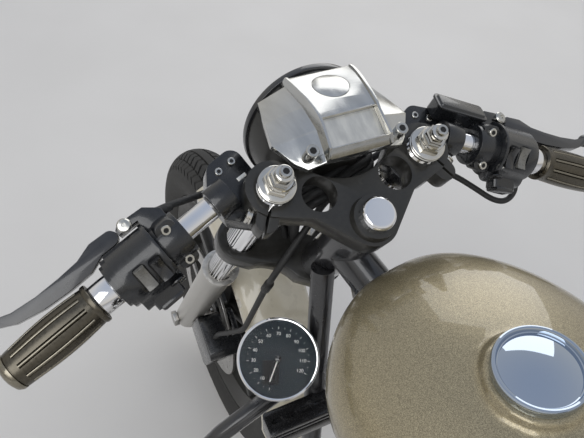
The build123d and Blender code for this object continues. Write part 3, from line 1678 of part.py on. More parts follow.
# Ribbed regulator clamped to the left down tube under the gauge
regulator_length = 96.0
regulator_height = 44.0
regulator_depth = 34.0
regulator_slots = 4
regulator = Plane(origin=(1088, 95, 604), x_dir=(-0.15, -0.99, -0.05), z_dir=(-0.05, 0, 1))
with BuildPart() as voltage_regulator:
    with BuildSketch(regulator):
        RectangleRounded(regulator_length, regulator_depth, 5)
    extrude(amount=regulator_height)
    with BuildSketch(regulator.offset(regulator_height)):
        with GridLocations(regulator_length / (regulator_slots + 0.5), 0, regulator_slots, 1):
            SlotOverall(17, 8)
    extrude(amount=-5, mode=Mode.SUBTRACT)
    with BuildSketch(regulator.offset(regulator_height - 8)):
        with GridLocations(0, regulator_depth, 1, 2):
            Rectangle(regulator_length, 6)
    extrude(amount=-5, mode=Mode.SUBTRACT)
    with BuildSketch(regulator.offset(regulator_height - 18)):
        with GridLocations(0, regulator_depth, 1, 2):
            Rectangle(regulator_length, 6)
    extrude(amount=-5, mode=Mode.SUBTRACT)
    add(rail_clear, mode=Mode.SUBTRACT)
    add(tube(guard_route, guard_bends, guard_radius + seat_gap), mode=Mode.SUBTRACT)
voltage_regulator.part.label = "voltage_regulator"

# How the bike stands: lean, pitch and height that set both tyres on the floor
front_crown = (front_tyre_width**2 / 4 + (0.42 * front_tyre_width) ** 2) / (2 * 0.42 * front_tyre_width)
rear_crown = (rear_tyre_width**2 / 4 + (0.42 * rear_tyre_width) ** 2) / (2 * 0.42 * rear_tyre_width)
steer = Location((0, 0, 0), (0, 0, steering_turn))


def lowest(place, radius, crown):
    """Height of the lowest point of a tyre, from where its wheel stands."""
    centre = place.position
    axle_rise = (place * Location((0, 1, 0))).position.Z - centre.Z
    return centre.Z - (radius - crown) * sqrt(1 - axle_rise**2) - crown


front_hub = steering.location * steer * Location((fork_offset, 0, -fork_length))
rear_hub = Location((0, 0, rear_tyre_radius))
standing = Location((0, 0, 0), (-lean, 0, 0))
for _ in range(4):
    front_low = lowest(standing * front_hub, front_tyre_radius, front_crown)
    rear_low = lowest(standing * rear_hub, rear_tyre_radius, rear_crown)
    tip = degrees(asin((front_low - rear_low) / wheelbase))
    standing = Location((0, 0, -rear_low)) * Location((0, 0, 0), (0, tip, 0)) * standing
floor = Plane(standing.inverse())

# Side stand: a leg that swings on a bolt through its bracket, with a flat foot on the floor
foot_spot = Vector(stand_foot_x, stand_foot_y, 0)
foot_spot = foot_spot - Vector(0, 0, (foot_spot - floor.origin).dot(floor.z_dir) / floor.z_dir.Z)
foot = Plane(origin=foot_spot, x_dir=floor.x_dir, z_dir=floor.z_dir)
pivot = Vector(*stand_pivot)
leg_end = foot_spot + floor.z_dir * (stand_foot_height + stand_leg_radius * 0.6)
leg_way = (leg_end - pivot).normalized()
folded_way = Vector(-0.92, 0.36, -0.10).normalized()
swing_axis = folded_way.cross(leg_way).normalized()
swing_angle = leg_way.get_angle(folded_way)
with BuildPart() as side_stand:
    add(rod(pivot, leg_end, stand_leg_radius))
    with BuildSketch(foot):
        Circle(stand_foot_radius)
    extrude(amount=stand_foot_height)
    with BuildSketch(Plane(origin=pivot - swing_axis * stand_hub_half, z_dir=swing_axis)):
        Circle(stand_hub_radius)
    extrude(amount=2 * stand_hub_half)
    with BuildSketch(Plane(origin=pivot - swing_axis * 2 * stand_hub_half, z_dir=swing_axis)):
        Circle(stand_bolt_radius + running_gap)
    extrude(amount=4 * stand_hub_half, mode=Mode.SUBTRACT)
side_stand.part.label = "side_stand"

# Its bracket: two plates, the bolt through them and a web against the lower frame tube
ear_start = stand_hub_half + running_gap
ear_thickness = 6.0
ear_reach = 42.0
web_start = stand_hub_radius + 5
inward = (Vector(0, -1, 0) + swing_axis * swing_axis.Y).normalized()
with BuildPart() as stand_bracket:
    for side in (1, -1):
        ear = Plane(origin=pivot + swing_axis * side * ear_start, x_dir=inward, z_dir=swing_axis * side)
        with BuildSketch(ear):
            Circle(stand_hub_radius)
            with Locations((ear_reach / 2, 0)):
                Rectangle(ear_reach, 2 * stand_hub_radius)
        extrude(amount=ear_thickness)
    ear_back = pivot - swing_axis * (ear_start + ear_thickness)
    with BuildSketch(Plane(origin=ear_back, x_dir=inward, z_dir=swing_axis)):
        with Locations(((web_start + ear_reach) / 2, 0)):
            Rectangle(ear_reach - web_start, 2 * stand_hub_radius)
        Circle(stand_bolt_radius)
    extrude(amount=2 * (ear_start + ear_thickness))
    add(rail_clear, mode=Mode.SUBTRACT)
stand_bracket.part.label = "stand_bracket"

pieces = {
    "chassis": [
        frame_backbone, frame_left, frame_right, swingarm, rear_shocks, rear_caliper, crankcase, cylinders,
        rocker_covers, primary_cover, gear_cover, pushrod_tubes, carburettor, air_cleaner, exhausts,
        drive_belt, fuel_tank,
        fuel_cap, seat, rear_fender, tail_lamp, rear_signals, side_covers, foot_controls, engine_guard,
        speedometer, speedometer_bracket, voltage_regulator, stand_bracket,
    ],
    "steering": [
        top_clamp, lower_clamp, stem_cap, fork_tubes, fork_sliders, fork_caps, handlebars, clip_ons, grips,
        switch_housings, lever_perches, levers, brake_master, headlamp_shell, headlamp_ring, headlamp_lens,
        headlamp_cover, front_axle, front_fender, brake_caliper, brake_hose,
    ],
    "front_wheel": [front_tyre, front_wheel, front_disc],
    "rear_wheel": [rear_tyre, rear_wheel, rear_disc, rear_pulley],
    "rear_axle": [rear_axle],
    "side_stand": [side_stand],
}
places = {
    "chassis": standing,
    "steering": standing * steering.location * steer,
    "front_wheel": standing * front_hub,
    "rear_wheel": standing * rear_hub,
    "rear_axle": standing * rear_hub,
    "side_stand": standing,
}
placed = {}
for body, builders in pieces.items():
    for builder in builders:
        placed[builder.part.label] = places[body] * builder.part

# The origin is the middle of the whole bike's floor plan
boxes = [shape.bounding_box() for shape in placed.values()]
low_x, high_x = min(box.min.X for box in boxes), max(box.max.X for box in boxes)
low_y, high_y = min(box.min.Y for box in boxes), max(box.max.Y for box in boxes)
low_z, high_z = min(box.min.Z for box in boxes), max(box.max.Z for box in boxes)
to_origin = Location((-(low_x + high_x) / 2, -(low_y + high_y) / 2, -low_z))
print("size", high_x - low_x, high_y - low_y, high_z - low_z, "lowest", low_z, "swing", swing_angle)

os.makedirs("parts", exist_ok=True)
for name, shape in placed.items():
    finished = to_origin * shape
    finished.label = name
    print(name, len(finished.solids()), round(finished.volume))
    export_step(finished, "parts/" + name + ".step")
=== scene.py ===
import json
import math
from contextlib import contextmanager

import bpy
from mathutils import Matrix, Vector


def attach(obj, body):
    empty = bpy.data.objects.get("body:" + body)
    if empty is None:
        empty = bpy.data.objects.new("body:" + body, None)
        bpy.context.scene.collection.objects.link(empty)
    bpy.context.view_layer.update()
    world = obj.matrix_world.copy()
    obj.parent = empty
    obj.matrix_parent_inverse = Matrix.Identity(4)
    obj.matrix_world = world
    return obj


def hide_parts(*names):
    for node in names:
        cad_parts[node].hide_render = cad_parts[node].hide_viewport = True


bl_info = {
    "name": "Cruiser Motorcycle Dressing",
    "version": (1, 0, 0),
    "blender": (4, 5, 0),
    "location": "View3D > Sidebar > Motorcycle",
    "description": "Finishes and fine pieces for a cruiser motorcycle leaning on its side stand",
    "category": "Object",
}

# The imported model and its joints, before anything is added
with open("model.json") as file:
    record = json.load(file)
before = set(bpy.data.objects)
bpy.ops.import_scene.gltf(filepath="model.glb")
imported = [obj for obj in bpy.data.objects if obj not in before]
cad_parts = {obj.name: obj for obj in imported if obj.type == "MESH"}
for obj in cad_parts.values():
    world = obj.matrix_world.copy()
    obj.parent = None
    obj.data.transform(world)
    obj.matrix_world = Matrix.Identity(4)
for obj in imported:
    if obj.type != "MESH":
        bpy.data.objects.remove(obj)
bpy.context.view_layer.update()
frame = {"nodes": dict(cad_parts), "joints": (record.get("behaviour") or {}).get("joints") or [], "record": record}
bpy.ops.object.select_all(action="DESELECT")
joints = {joint["name"]: joint for joint in frame["joints"]}

MM = 0.001
RAKE = math.radians(29.0)
REAR_TYRE_RADIUS = 0.320
BOTH_SIDES = (1, -1)


def axes_matrix(origin, x_axis, y_axis, z_axis):
    """A matrix that places a local frame, given by its origin and axes, in the model's frame."""
    turn = Matrix((x_axis, y_axis, z_axis)).transposed()
    return Matrix.Translation(origin) @ turn.to_4x4()


def joint_line(name):
    """A joint's place and the direction of its axis."""
    return Vector(joints[name]["pos_m"]), Vector(joints[name]["axis"]).normalized()


def fork_matrix():
    """The steered parts' frame: up along the steering axis from the top of the upper clamp, X forward."""
    place, up = joint_line("steering_turn")
    _, left = joint_line("front_wheel_spin")
    left = (left - up * left.dot(up)).normalized()
    return axes_matrix(place, left.cross(up), left, up)


def bike_matrix():
    """The leaning bike's own frame: X forward, Y left and Z up, on the floor under the rear axle."""
    _, steering_up = joint_line("steering_turn")
    hub, left = joint_line("rear_wheel_spin")
    ahead = left.cross(steering_up).normalized()
    forward = ahead * math.cos(RAKE) - steering_up * math.sin(RAKE)
    up = ahead * math.sin(RAKE) + steering_up * math.cos(RAKE)
    return axes_matrix(hub - up * REAR_TYRE_RADIUS, forward, left, up)


def hub_matrix(joint):
    """A wheel's frame: Y to the left along its axle, X ahead and level."""
    place, left = joint_line(joint)
    ahead = left.cross(Vector((0, 0, 1))).normalized()
    return axes_matrix(place, ahead, left, ahead.cross(left))


fork = fork_matrix()
bike = bike_matrix()
bike_up = bike.to_3x3() @ Vector((0, 0, 1))


# Helpers for materials


def set_inputs(node, **values):
    """Set a node's inputs, whose names are written with _ for each space."""
    for name, value in values.items():
        node.inputs[name.replace("_", " ")].default_value = value
    return node


def start_material(name, color, metallic, roughness, **values):
    """A new node material with plain values on its shader."""
    material = bpy.data.materials.new(name)
    material.use_nodes = True
    tree = material.node_tree
    shader = tree.nodes["Principled BSDF"]
    set_inputs(shader, Base_Color=(*color, 1.0), Metallic=metallic, Roughness=roughness, **values)
    return material, tree, shader


def object_noise(tree, scale, detail, stretch=(1.0, 1.0, 1.0)):
    """Noise on the piece's own coordinates, stretched along its axes."""
    place = tree.nodes.new("ShaderNodeTexCoord")
    mapping = set_inputs(tree.nodes.new("ShaderNodeMapping"), Scale=stretch)
    noise = set_inputs(tree.nodes.new("ShaderNodeTexNoise"), Scale=scale, Detail=detail)
    tree.links.new(place.outputs["Object"], mapping.inputs["Vector"])
    tree.links.new(mapping.outputs["Vector"], noise.inputs["Vector"])
    return noise


def object_cells(tree, scale, feature):
    """Cells on the piece's own coordinates."""
    place = tree.nodes.new("ShaderNodeTexCoord")
    cells = set_inputs(tree.nodes.new("ShaderNodeTexVoronoi"), Scale=scale)
    cells.feature = feature
    tree.links.new(place.outputs["Object"], cells.inputs["Vector"])
    return cells


def color_ramp(tree, source, *stops):
    """The colours that an output runs through, each stop given as a place and a colour."""
    ramp = tree.nodes.new("ShaderNodeValToRGB")
    elements = ramp.color_ramp.elements
    for index, (place, color) in enumerate(stops):
        stop = elements[index] if index < 2 else elements.new(place)
        stop.position = place
        stop.color = (*color, 1.0)
    tree.links.new(source, ramp.inputs["Fac"])
    return ramp.outputs["Color"]


def vary_color(tree, shader, noise, dark, light):
    """Let the noise run the base colour from a dark tone to a light one."""
    color = color_ramp(tree, noise.outputs["Fac"], (0.35, dark), (0.65, light))
    tree.links.new(color, shader.inputs["Base Color"])


def vary_tone(tree, shader, noise, color, dark, light):
    """Let the noise run the base colour between two shares of it."""
    vary_color(tree, shader, noise, *([share * c for c in color] for share in (dark, light)))


def vary_roughness(tree, shader, noise, low, high):
    """Let the noise run the roughness between two values."""
    span = tree.nodes.new("ShaderNodeMapRange")
    set_inputs(span, From_Min=0.3, From_Max=0.7, To_Min=low, To_Max=high)
    tree.links.new(noise.outputs["Fac"], span.inputs["Value"])
    tree.links.new(span.outputs["Result"], shader.inputs["Roughness"])


def add_bump(tree, shader, height, strength, distance):
    """Raise the surface by a height output."""
    bump = set_inputs(tree.nodes.new("ShaderNodeBump"), Strength=strength, Distance=distance)
    tree.links.new(height, bump.inputs["Height"])
    tree.links.new(bump.outputs["Normal"], shader.inputs["Normal"])


def worn(material, color, noise, tones, polish, bump):
    """A material whose tone, polish and grain all follow one noise."""
    material, tree, shader = material
    noise = object_noise(tree, *noise)
    vary_tone(tree, shader, noise, color, *tones)
    vary_roughness(tree, shader, noise, *polish)
    add_bump(tree, shader, noise.outputs["Fac"], *bump)
    return material


def metal(name, color, low, high, scale, bump, dark=0.82, stretch=(1, 1, 1)):
    """A bare metal with fine scratches and uneven polish."""
    plain = start_material(name, color, 1.0, (low + high) / 2)
    return worn(plain, color, (scale, 6.0, stretch), (dark, 1.0), (low, high), (bump, 0.0002))


def enamel(name, color, roughness, coat, scale=60.0, grain=0.05, dark=0.8):
    """A painted or powder-coated surface with a little dust and unevenness."""
    plain = start_material(name, color, 0.0, roughness, Coat_Weight=coat, Coat_Roughness=0.06)
    polish = (roughness * 0.8, roughness * 1.25)
    return worn(plain, color, (scale, 5.0), (dark, 1.0), polish, (grain, 0.0004))


def rubber(name, color, roughness, scale, grain):
    """Matte rubber with a fine skin and dusty patches."""
    plain = start_material(name, color, 0.0, roughness)
    polish = (roughness - 0.12, roughness + 0.1)
    return worn(plain, color, (scale, 6.0), (0.7, 1.35), polish, (grain, 0.0004))


def flake_paint(name, dark, mid, light):
    """Metal-flake paint: small flakes that each catch the light their own way, under clear lacquer."""
    material, tree, shader = start_material(name, mid, 0.55, 0.34, Coat_Weight=1.0, Coat_Roughness=0.03)
    split = tree.nodes.new("ShaderNodeSeparateColor")
    tree.links.new(object_cells(tree, 2200.0, "F1").outputs["Color"], split.inputs["Color"])
    color = color_ramp(tree, split.outputs["Red"], (0.0, dark), (1.0, light), (0.55, mid))
    tree.links.new(color, shader.inputs["Base Color"])
    add_bump(tree, shader, split.outputs["Green"], 0.12, 0.0001)
    return material


def leather(name, color):
    """Grained leather: small cells with soft creases between them."""
    material, tree, shader = start_material(name, color, 0.0, 0.5)
    edges = object_cells(tree, 420.0, "DISTANCE_TO_EDGE").outputs["Distance"]
    add_bump(tree, shader, color_ramp(tree, edges, (0.0, (0, 0, 0)), (0.18, (1, 1, 1))), 0.35, 0.0006)
    noise = object_noise(tree, 9.0, 4.0)
    vary_tone(tree, shader, noise, color, 0.7, 1.3)
    vary_roughness(tree, shader, noise, 0.38, 0.58)
    return material


def clear_glass(name, color, roughness=0.02, bending=1.45):
    """Clear glass for the lamp and the gauge."""
    return start_material(name, color, 0.0, roughness, Transmission_Weight=1.0, IOR=bending)


def ribbed_glass(name):
    """Lamp glass with moulded upright flutes."""
    material, tree, shader = clear_glass(name, (0.95, 0.97, 0.98))
    place = tree.nodes.new("ShaderNodeTexCoord")
    flutes = set_inputs(tree.nodes.new("ShaderNodeTexWave"), Scale=30.0)
    flutes.bands_direction = "Y"
    tree.links.new(place.outputs["Object"], flutes.inputs["Vector"])
    add_bump(tree, shader, flutes.outputs["Fac"], 0.5, 0.0015)
    return material


def tinted_lens(name, color):
    """A moulded plastic lens with ribs under its skin."""
    glow = {"Coat_Weight": 0.6, "Subsurface_Weight": 0.2, "Subsurface_Scale": 0.004}
    material, tree, shader = start_material(name, color, 0.0, 0.12, **glow)
    noise = object_noise(tree, 300.0, 1.0, (1.0, 1.0, 0.05))
    vary_tone(tree, shader, noise, color, 0.55, 1.0)
    add_bump(tree, shader, noise.outputs["Fac"], 0.2, 0.0005)
    return material


# The tank's flakes: their dark, middle and light tones
FLAKES = ((0.195, 0.162, 0.095), (0.30, 0.25, 0.15), (0.50, 0.43, 0.27))
# Every finish by name: those of the material slots first, then those that differ from their slot's
finishes = {
    "tank_paint": flake_paint("tank_flake", *FLAKES),
    # The fender's pale gold paint, made far lighter than the tank's same paint: partly its own colour, partly
    # painted sunlight
    "fender_paint": enamel("fender_cream", (0.62, 0.57, 0.45), 0.28, 0.9, 30.0, 0.02, 0.9),
    "frame_paint": enamel("frame_gloss", (0.018, 0.018, 0.020), 0.30, 0.8),
    "satin_black": enamel("satin_black", (0.025, 0.024, 0.021), 0.36, 0.2, 220.0, 0.12),
    "polished_aluminium": metal(
        "polished_alloy", (0.60, 0.60, 0.58), 0.12, 0.26, 22.0, 0.05, 0.86, (1, 4, 1)
    ),
    "brushed_aluminium": metal(
        "brushed_alloy", (0.62, 0.60, 0.56), 0.28, 0.48, 120.0, 0.12, stretch=(1, 1, 6)
    ),
    "engine_black": enamel("wrinkle_black", (0.030, 0.030, 0.032), 0.55, 0.1, 900.0, 0.5),
    "chrome": metal("chrome", (0.88, 0.88, 0.89), 0.035, 0.10, 14.0, 0.02, 0.95),
    "steel": metal("ground_steel", (0.50, 0.49, 0.47), 0.25, 0.42, 160.0, 0.15, stretch=(1, 8, 1)),
    "tyre": rubber("tyre_rubber", (0.030, 0.029, 0.027), 0.78, 150.0, 0.3),
    "grip_rubber": rubber("grip_rubber", (0.045, 0.037, 0.031), 0.62, 500.0, 0.25),
    "rubber": rubber("black_rubber", (0.020, 0.020, 0.020), 0.6, 300.0, 0.2),
    "black_plastic": enamel("moulded_gloss", (0.011, 0.011, 0.012), 0.26, 0.6, 700.0, 0.04),
    "seat_leather": leather("seat_leather", (0.030, 0.027, 0.025)),
    "lamp_glass": clear_glass("lamp_glass", (0.95, 0.97, 0.98))[0],
    "red_lens": tinted_lens("red_lens", (0.42, 0.012, 0.010)),
    "amber_lens": tinted_lens("amber_lens", (0.75, 0.26, 0.02)),
    "anodised_black": metal("anodised_black", (0.125, 0.113, 0.090), 0.24, 0.34, 300.0, 0.05),
    "anodised_olive": metal("anodised_olive", (0.30, 0.275, 0.22), 0.20, 0.30, 300.0, 0.05),
    "dial_face": enamel("dial_navy", (0.013, 0.024, 0.033), 0.7, 0.0, 200.0, 0.02),
    "dial_marks": enamel("dial_white", (0.80, 0.80, 0.76), 0.5, 0.0, 200.0, 0.0, 0.95),
    # Near-black for a rectangle on the dial
    "dial_window": enamel("dial_window", (0.0015, 0.002, 0.002), 0.7, 0.0, 90.0, 0.0),
    "bright_screw": metal("bright_screw", (0.60, 0.59, 0.55), 0.14, 0.28, 200.0, 0.04),
    "moulded_black": enamel("button_black", (0.016, 0.016, 0.017), 0.24, 0.5, 400.0, 0.03),
    "moulded_grey": enamel("button_grey", (0.17, 0.165, 0.15), 0.30, 0.3, 400.0, 0.03),
    # Chrome tinted blue-grey and darkened to stand for the sky that it mirrors: a painted reflection
    "mirror_chrome": metal("mirror_chrome", (0.47, 0.53, 0.61), 0.015, 0.05, 9.0, 0.01, 0.97),
    # Warm copper tone on the tank's seam: a painted highlight of low warm light caught on its edge
    "seam_copper": metal("seam_copper", (0.50, 0.25, 0.12), 0.25, 0.40, 60.0, 0.05),
    "gloss_black": enamel("gloss_black", (0.012, 0.013, 0.015), 0.28, 0.5, 160.0, 0.04),
    "polished_cap": metal("polished_cap", (0.70, 0.68, 0.63), 0.07, 0.18, 70.0, 0.03),
    # A pale metal, lighter than the cover it lies in: painted light on the tray's floor, and in the clip-ons'
    # slots
    "tray_floor": metal("tray_floor", (0.86, 0.83, 0.75), 0.30, 0.42, 40.0, 0.05, 0.8, (1, 3, 1)),
    # Near-black for the insides of sockets and pipes: painted shade
    "painted_shade": enamel("dark_recess", (0.006, 0.006, 0.006), 0.6, 0.0, 90.0, 0.0),
    "dial_glass": clear_glass("dial_glass", (1.0, 1.0, 1.0), 0.01, 1.12)[0],
    "ribbed_glass": ribbed_glass("ribbed_glass"),
    "bulb": enamel("bulb_glass", (0.85, 0.80, 0.70), 0.15, 0.8, 40.0, 0.0, 0.95),
}


# Helpers for places, all in millimetres

# The left bar in the steered parts' frame; the right one is its mirror image, shifted inwards
BAR_PLACE = Vector((72.2, 138.1, -22.6))
BAR_SWEEP = math.radians(22.2)
BAR_DROOP = math.radians(12.0)
RIGHT_SHIFT = -18.0


def bar_matrix(side):
    """A handlebar's frame: X forward, Y down and Z outwards along the tube."""
    level = math.cos(BAR_DROOP)
    along = Vector((-math.sin(BAR_SWEEP) * level, math.cos(BAR_SWEEP) * level, -math.sin(BAR_DROOP)))
    ahead = Vector((math.cos(BAR_SWEEP), math.sin(BAR_SWEEP), 0.0))
    place = BAR_PLACE if side > 0 else BAR_PLACE + along * RIGHT_SHIFT
    local = axes_matrix(place * MM, ahead, along.cross(ahead), along)
    return fork @ Matrix.Scale(side, 4, (0, 1, 0)) @ local


def at(home, place, out=(0, 0, 1), ahead=(1, 0, 0)):
    """A frame at a place inside a home frame, its Z pointing out and its X near ahead."""
    z_axis = Vector(out).normalized()
    x_axis = Vector(ahead)
    x_axis = (x_axis - z_axis * x_axis.dot(z_axis)).normalized()
    return home @ axes_matrix(Vector(place) * MM, x_axis, z_axis.cross(x_axis), z_axis)


def twins(home, place, out=(0, 0, 1), ahead=(1, 0, 0)):
    """Frames at a place on the left and at its mirror image on the right."""
    return [at(home, *((x, side * y, z) for x, y, z in (place, out, ahead))) for side in BOTH_SIDES]


def on_face(home, x, face, z):
    """A frame on an upright face, so far left of the middle, that points away from the middle."""
    return at(home, (x, face, z), (0, math.copysign(1, face), 0))


def face_ring(home, x, z, face, radius, angles):
    """Frames on an upright face, on a ring round a middle, at each angle."""
    return [on_face(home, x + radius * math.cos(a), face, z + radius * math.sin(a)) for a in angles]


def round_bar(side, along, angle, out, across=0.0):
    """A frame on a bar's barrel: its place along, its angle from up towards the rider, its distance."""
    turn = math.radians(angle)
    way = Vector((-math.sin(turn), -math.cos(turn), 0.0))
    beside = Vector((-math.cos(turn), math.sin(turn), 0.0))
    return at(bar_matrix(side), way * out + beside * across + Vector((0, 0, along)), way, (0, 0, 1))


# Helpers for shapes


def add_object(name, data):
    """A new object around its data, in the scene."""
    piece = bpy.data.objects.new(name, data)
    bpy.context.scene.collection.objects.link(piece)
    return piece


def select_only(piece):
    """Make a piece the only selected and active one."""
    bpy.ops.object.select_all(action="DESELECT")
    bpy.context.view_layer.objects.active = piece
    piece.select_set(True)


@contextmanager
def editing(piece):
    """Edit mode on one piece, with its whole mesh selected."""
    select_only(piece)
    bpy.ops.object.mode_set(mode="EDIT")
    bpy.ops.mesh.select_all(action="SELECT")
    yield
    bpy.ops.object.mode_set(mode="OBJECT")


def merge_doubles(distance):
    """In edit mode, merge all points nearer than a distance and turn the faces outwards."""
    bpy.ops.mesh.select_all(action="SELECT")
    bpy.ops.mesh.remove_doubles(threshold=distance)
    bpy.ops.mesh.normals_make_consistent(inside=False)


def apply_modifier(piece, kind, **values):
    """Give a piece a modifier with its settings, and apply it."""
    select_only(piece)
    modifier = piece.modifiers.new(kind.lower(), kind)
    for name, value in values.items():
        setattr(modifier, name, value)
    bpy.ops.object.modifier_apply(modifier=modifier.name)


def round_edges(piece, width, segments=2, angle=35.0):
    """Round a piece's sharp edges by a width in millimetres and shade it smooth between them."""
    limit = math.radians(angle)
    if width:
        edge = {"width": width * MM, "segments": segments, "limit_method": "ANGLE", "angle_limit": limit}
        apply_modifier(piece, "BEVEL", **edge)
    select_only(piece)
    bpy.ops.object.shade_smooth_by_angle(angle=limit)
    return piece


def soften(node, width, segments=2, cell=0.0):
    """A copy of a CAD node as one skin, its sharp edges rounded, or its faces made even in small cells."""
    piece = add_object(node + "_skin", frame["nodes"][node].data.copy())
    with editing(piece):
        bpy.ops.mesh.remove_doubles(threshold=0.00002)
        if width:
            bpy.ops.mesh.dissolve_limited(angle_limit=math.radians(0.6))
    if not cell:
        return round_edges(piece, width, segments)
    apply_modifier(piece, "REMESH", mode="VOXEL", voxel_size=cell * MM)
    apply_modifier(piece, "SMOOTH", factor=0.5, iterations=6)
    return round_edges(piece, 0.0, angle=60.0)


def lathe(name, profile, steps):
    """A shape turned about Z from a profile of radius and height in millimetres."""
    mesh = bpy.data.meshes.new(name)
    spots = [(radius * MM, 0.0, height * MM) for radius, height in profile]
    mesh.from_pydata(spots, [(i, i + 1) for i in range(len(spots) - 1)], [])
    piece = add_object(name, mesh)
    with editing(piece):
        bpy.ops.mesh.spin(steps=steps, angle=2 * math.pi, center=(0, 0, 0), axis=(0, 0, 1))
        merge_doubles(0.00001)
    return round_edges(piece, 0.0)


def block(name, size, width=0.0, cuts=0):
    """A box of a size in millimetres that stands on its origin, with rounded edges."""
    bpy.ops.mesh.primitive_cube_add(size=1.0)
    piece = bpy.context.object
    piece.name = name
    piece.data.transform(Matrix.Diagonal((*[c * MM for c in size], 1.0)) @ Matrix.Translation((0, 0, 0.5)))
    if cuts:
        with editing(piece):
            bpy.ops.mesh.subdivide(number_cuts=cuts)
    return round_edges(piece, width)


def cable(name, points, radius, ring=4):
    """A round cable on a smooth line over control points in millimetres."""
    data = bpy.data.curves.new(name, "CURVE")
    data.dimensions = "3D"
    data.bevel_depth = radius * MM
    data.bevel_resolution = ring
    data.use_fill_caps = True
    spline = data.splines.new("NURBS")
    spline.points.add(len(points) - 1)
    for knot, point in zip(spline.points, points):
        knot.co = (*[c * MM for c in point], 1.0)
    spline.order_u = 3
    spline.use_endpoint_u = True
    spline.resolution_u = 8
    select_only(add_object(name, data))
    bpy.ops.object.convert(target="MESH")
    return round_edges(bpy.context.object, 0.0, angle=50.0)


def letters(text, size, depth=0.15):
    """Raised figures in a plain face, centred on their origin."""
    bpy.ops.object.text_add()
    piece = bpy.context.object
    piece.data.body = text
    piece.data.size = size * MM
    piece.data.extrude = depth * MM
    piece.data.align_x = "CENTER"
    piece.data.align_y = "CENTER"
    bpy.ops.object.convert(target="MESH")
    return bpy.context.object


def put(piece, place):
    """Bake a place into a piece's mesh, turned right side out where the place mirrors it."""
    piece.data.transform(place)
    if place.determinant() < 0:
        piece.data.flip_normals()
    return piece


def join(pieces, name):
    """One piece from several."""
    select_only(pieces[0])
    for piece in pieces:
        piece.select_set(True)
    if len(pieces) > 1:
        bpy.ops.object.join()
    pieces[0].name = name
    return pieces[0]


def spread(piece, name, places):
    """Copies of a piece at each place, each with its own mesh, joined to one piece."""
    copies = [put(add_object(name, piece.data.copy()), place) for place in places]
    bpy.data.objects.remove(piece)
    return join(copies, name)


def finish_piece(piece, body, slot, finish=None, replaced=()):
    """Give a finished piece its material, its body and the nodes that it stands for."""
    piece.data.materials.clear()
    piece.data.materials.append(finishes[finish or slot])
    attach(piece, body)
    if replaced:
        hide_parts(*replaced)


def finish_turned(name, profile, steps, home, body, slot, finish=None, replaced=()):
    """A turned piece at its home, finished."""
    finish_piece(put(lathe(name, profile, steps), home), body, slot, finish, replaced)


# Shares of a cap screw's radius: its hexagon socket, and the socket's floor, a dark disc of painted shade
SOCKET_SHARE = 0.6
SOCKET_FLOOR_SHARE = 0.56


def socket_screw(radius, height):
    """A cap screw's head with a hexagon socket."""
    socket = radius * SOCKET_SHARE
    rim = [(radius, height * 0.8), (radius * 0.9, height), (socket * 1.15, height)]
    head = lathe("screw", [(0, 0), (radius, 0), *rim], 24)
    with editing(head):
        bpy.ops.mesh.select_all(action="DESELECT")
        bpy.ops.mesh.primitive_circle_add(vertices=6, radius=socket * MM, location=(0, 0, height * MM))
        bpy.ops.mesh.extrude_region_move(TRANSFORM_OT_translate={"value": (0, 0, -height * 0.8 * MM)})
        bpy.ops.mesh.edge_face_add()
        bpy.ops.mesh.select_all(action="DESELECT")
        bpy.ops.mesh.select_non_manifold()
        bpy.ops.mesh.bridge_edge_loops()
        bpy.ops.mesh.select_all(action="SELECT")
        bpy.ops.mesh.normals_make_consistent(inside=False)
    return round_edges(head, 0.0)


def screws(places, radius, height, name):
    """Socket screws at each place: their heads, and the floors of their sockets, dark with painted shade."""
    heads = spread(socket_screw(radius, height), name, places)
    top, across = height + 0.06, radius * SOCKET_FLOOR_SHARE
    floor = lathe("floor", [(0, top), (across, top), (across, height * 0.3), (0, height * 0.3)], 6)
    return heads, spread(floor, name + "_sockets", places)


def hex_bolt(radius, height):
    """A bolt's hexagon head on its washer."""
    wide = radius * 1.25
    washer = lathe("washer", [(0, 0), (wide, 0), (wide, 1.0), (radius * 1.15, 1.4), (0, 1.4)], 32)
    sides = [(radius, 1.4), (radius, height - 0.8), (radius * 0.9, height)]
    return join([washer, lathe("head", [(0, 1.4), *sides, (0, height)], 6)], "bolt")


# Rounded skins: node, width of the rounding in millimetres
ROUNDED_NODES = {
    "frame_backbone": 0.8, "frame_left": 0.8, "frame_right": 0.8, "swingarm": 2.0, "rear_caliper": 2.0,
    "crankcase": 3.0, "cylinders": 0.8, "rocker_covers": 3.0, "primary_cover": 1.0, "gear_cover": 1.0,
    "pushrod_tubes": 1.0, "carburettor": 1.5, "air_cleaner": 1.0, "exhausts": 1.0, "drive_belt": 0.6,
    "fuel_tank": 0.0, "rear_fender": 0.0, "tail_lamp": 2.0, "rear_signals": 2.0, "side_covers": 2.0,
    "foot_controls": 1.0, "engine_guard": 0.0, "speedometer_bracket": 0.8, "voltage_regulator": 1.0,
    "stand_bracket": 0.8, "rear_axle": 0.8, "top_clamp": 1.6, "lower_clamp": 1.6, "stem_cap": 0.0,
    "fork_tubes": 0.0, "fork_sliders": 1.0, "handlebars": 0.5, "clip_ons": 1.6, "switch_housings": 1.6,
    "lever_perches": 1.2, "levers": 0.8, "brake_master": 1.6, "headlamp_shell": 1.0, "headlamp_ring": 0.6,
    "headlamp_cover": 1.6, "front_axle": 0.8, "brake_caliper": 2.0, "brake_hose": 0.0, "front_wheel": 1.5,
    "front_disc": 0.4, "rear_wheel": 1.5, "rear_disc": 0.4, "rear_pulley": 0.8, "side_stand": 1.5,
}
# Pressed skins whose faces are made even, with the cell's size in millimetres
EVEN_CELLS = {"fuel_tank": 3.5}
# Skins that are glossier than their slot
GLOSSY_NODES = ("clip_ons", "lever_perches", "brake_caliper", "switch_housings", "brake_master")


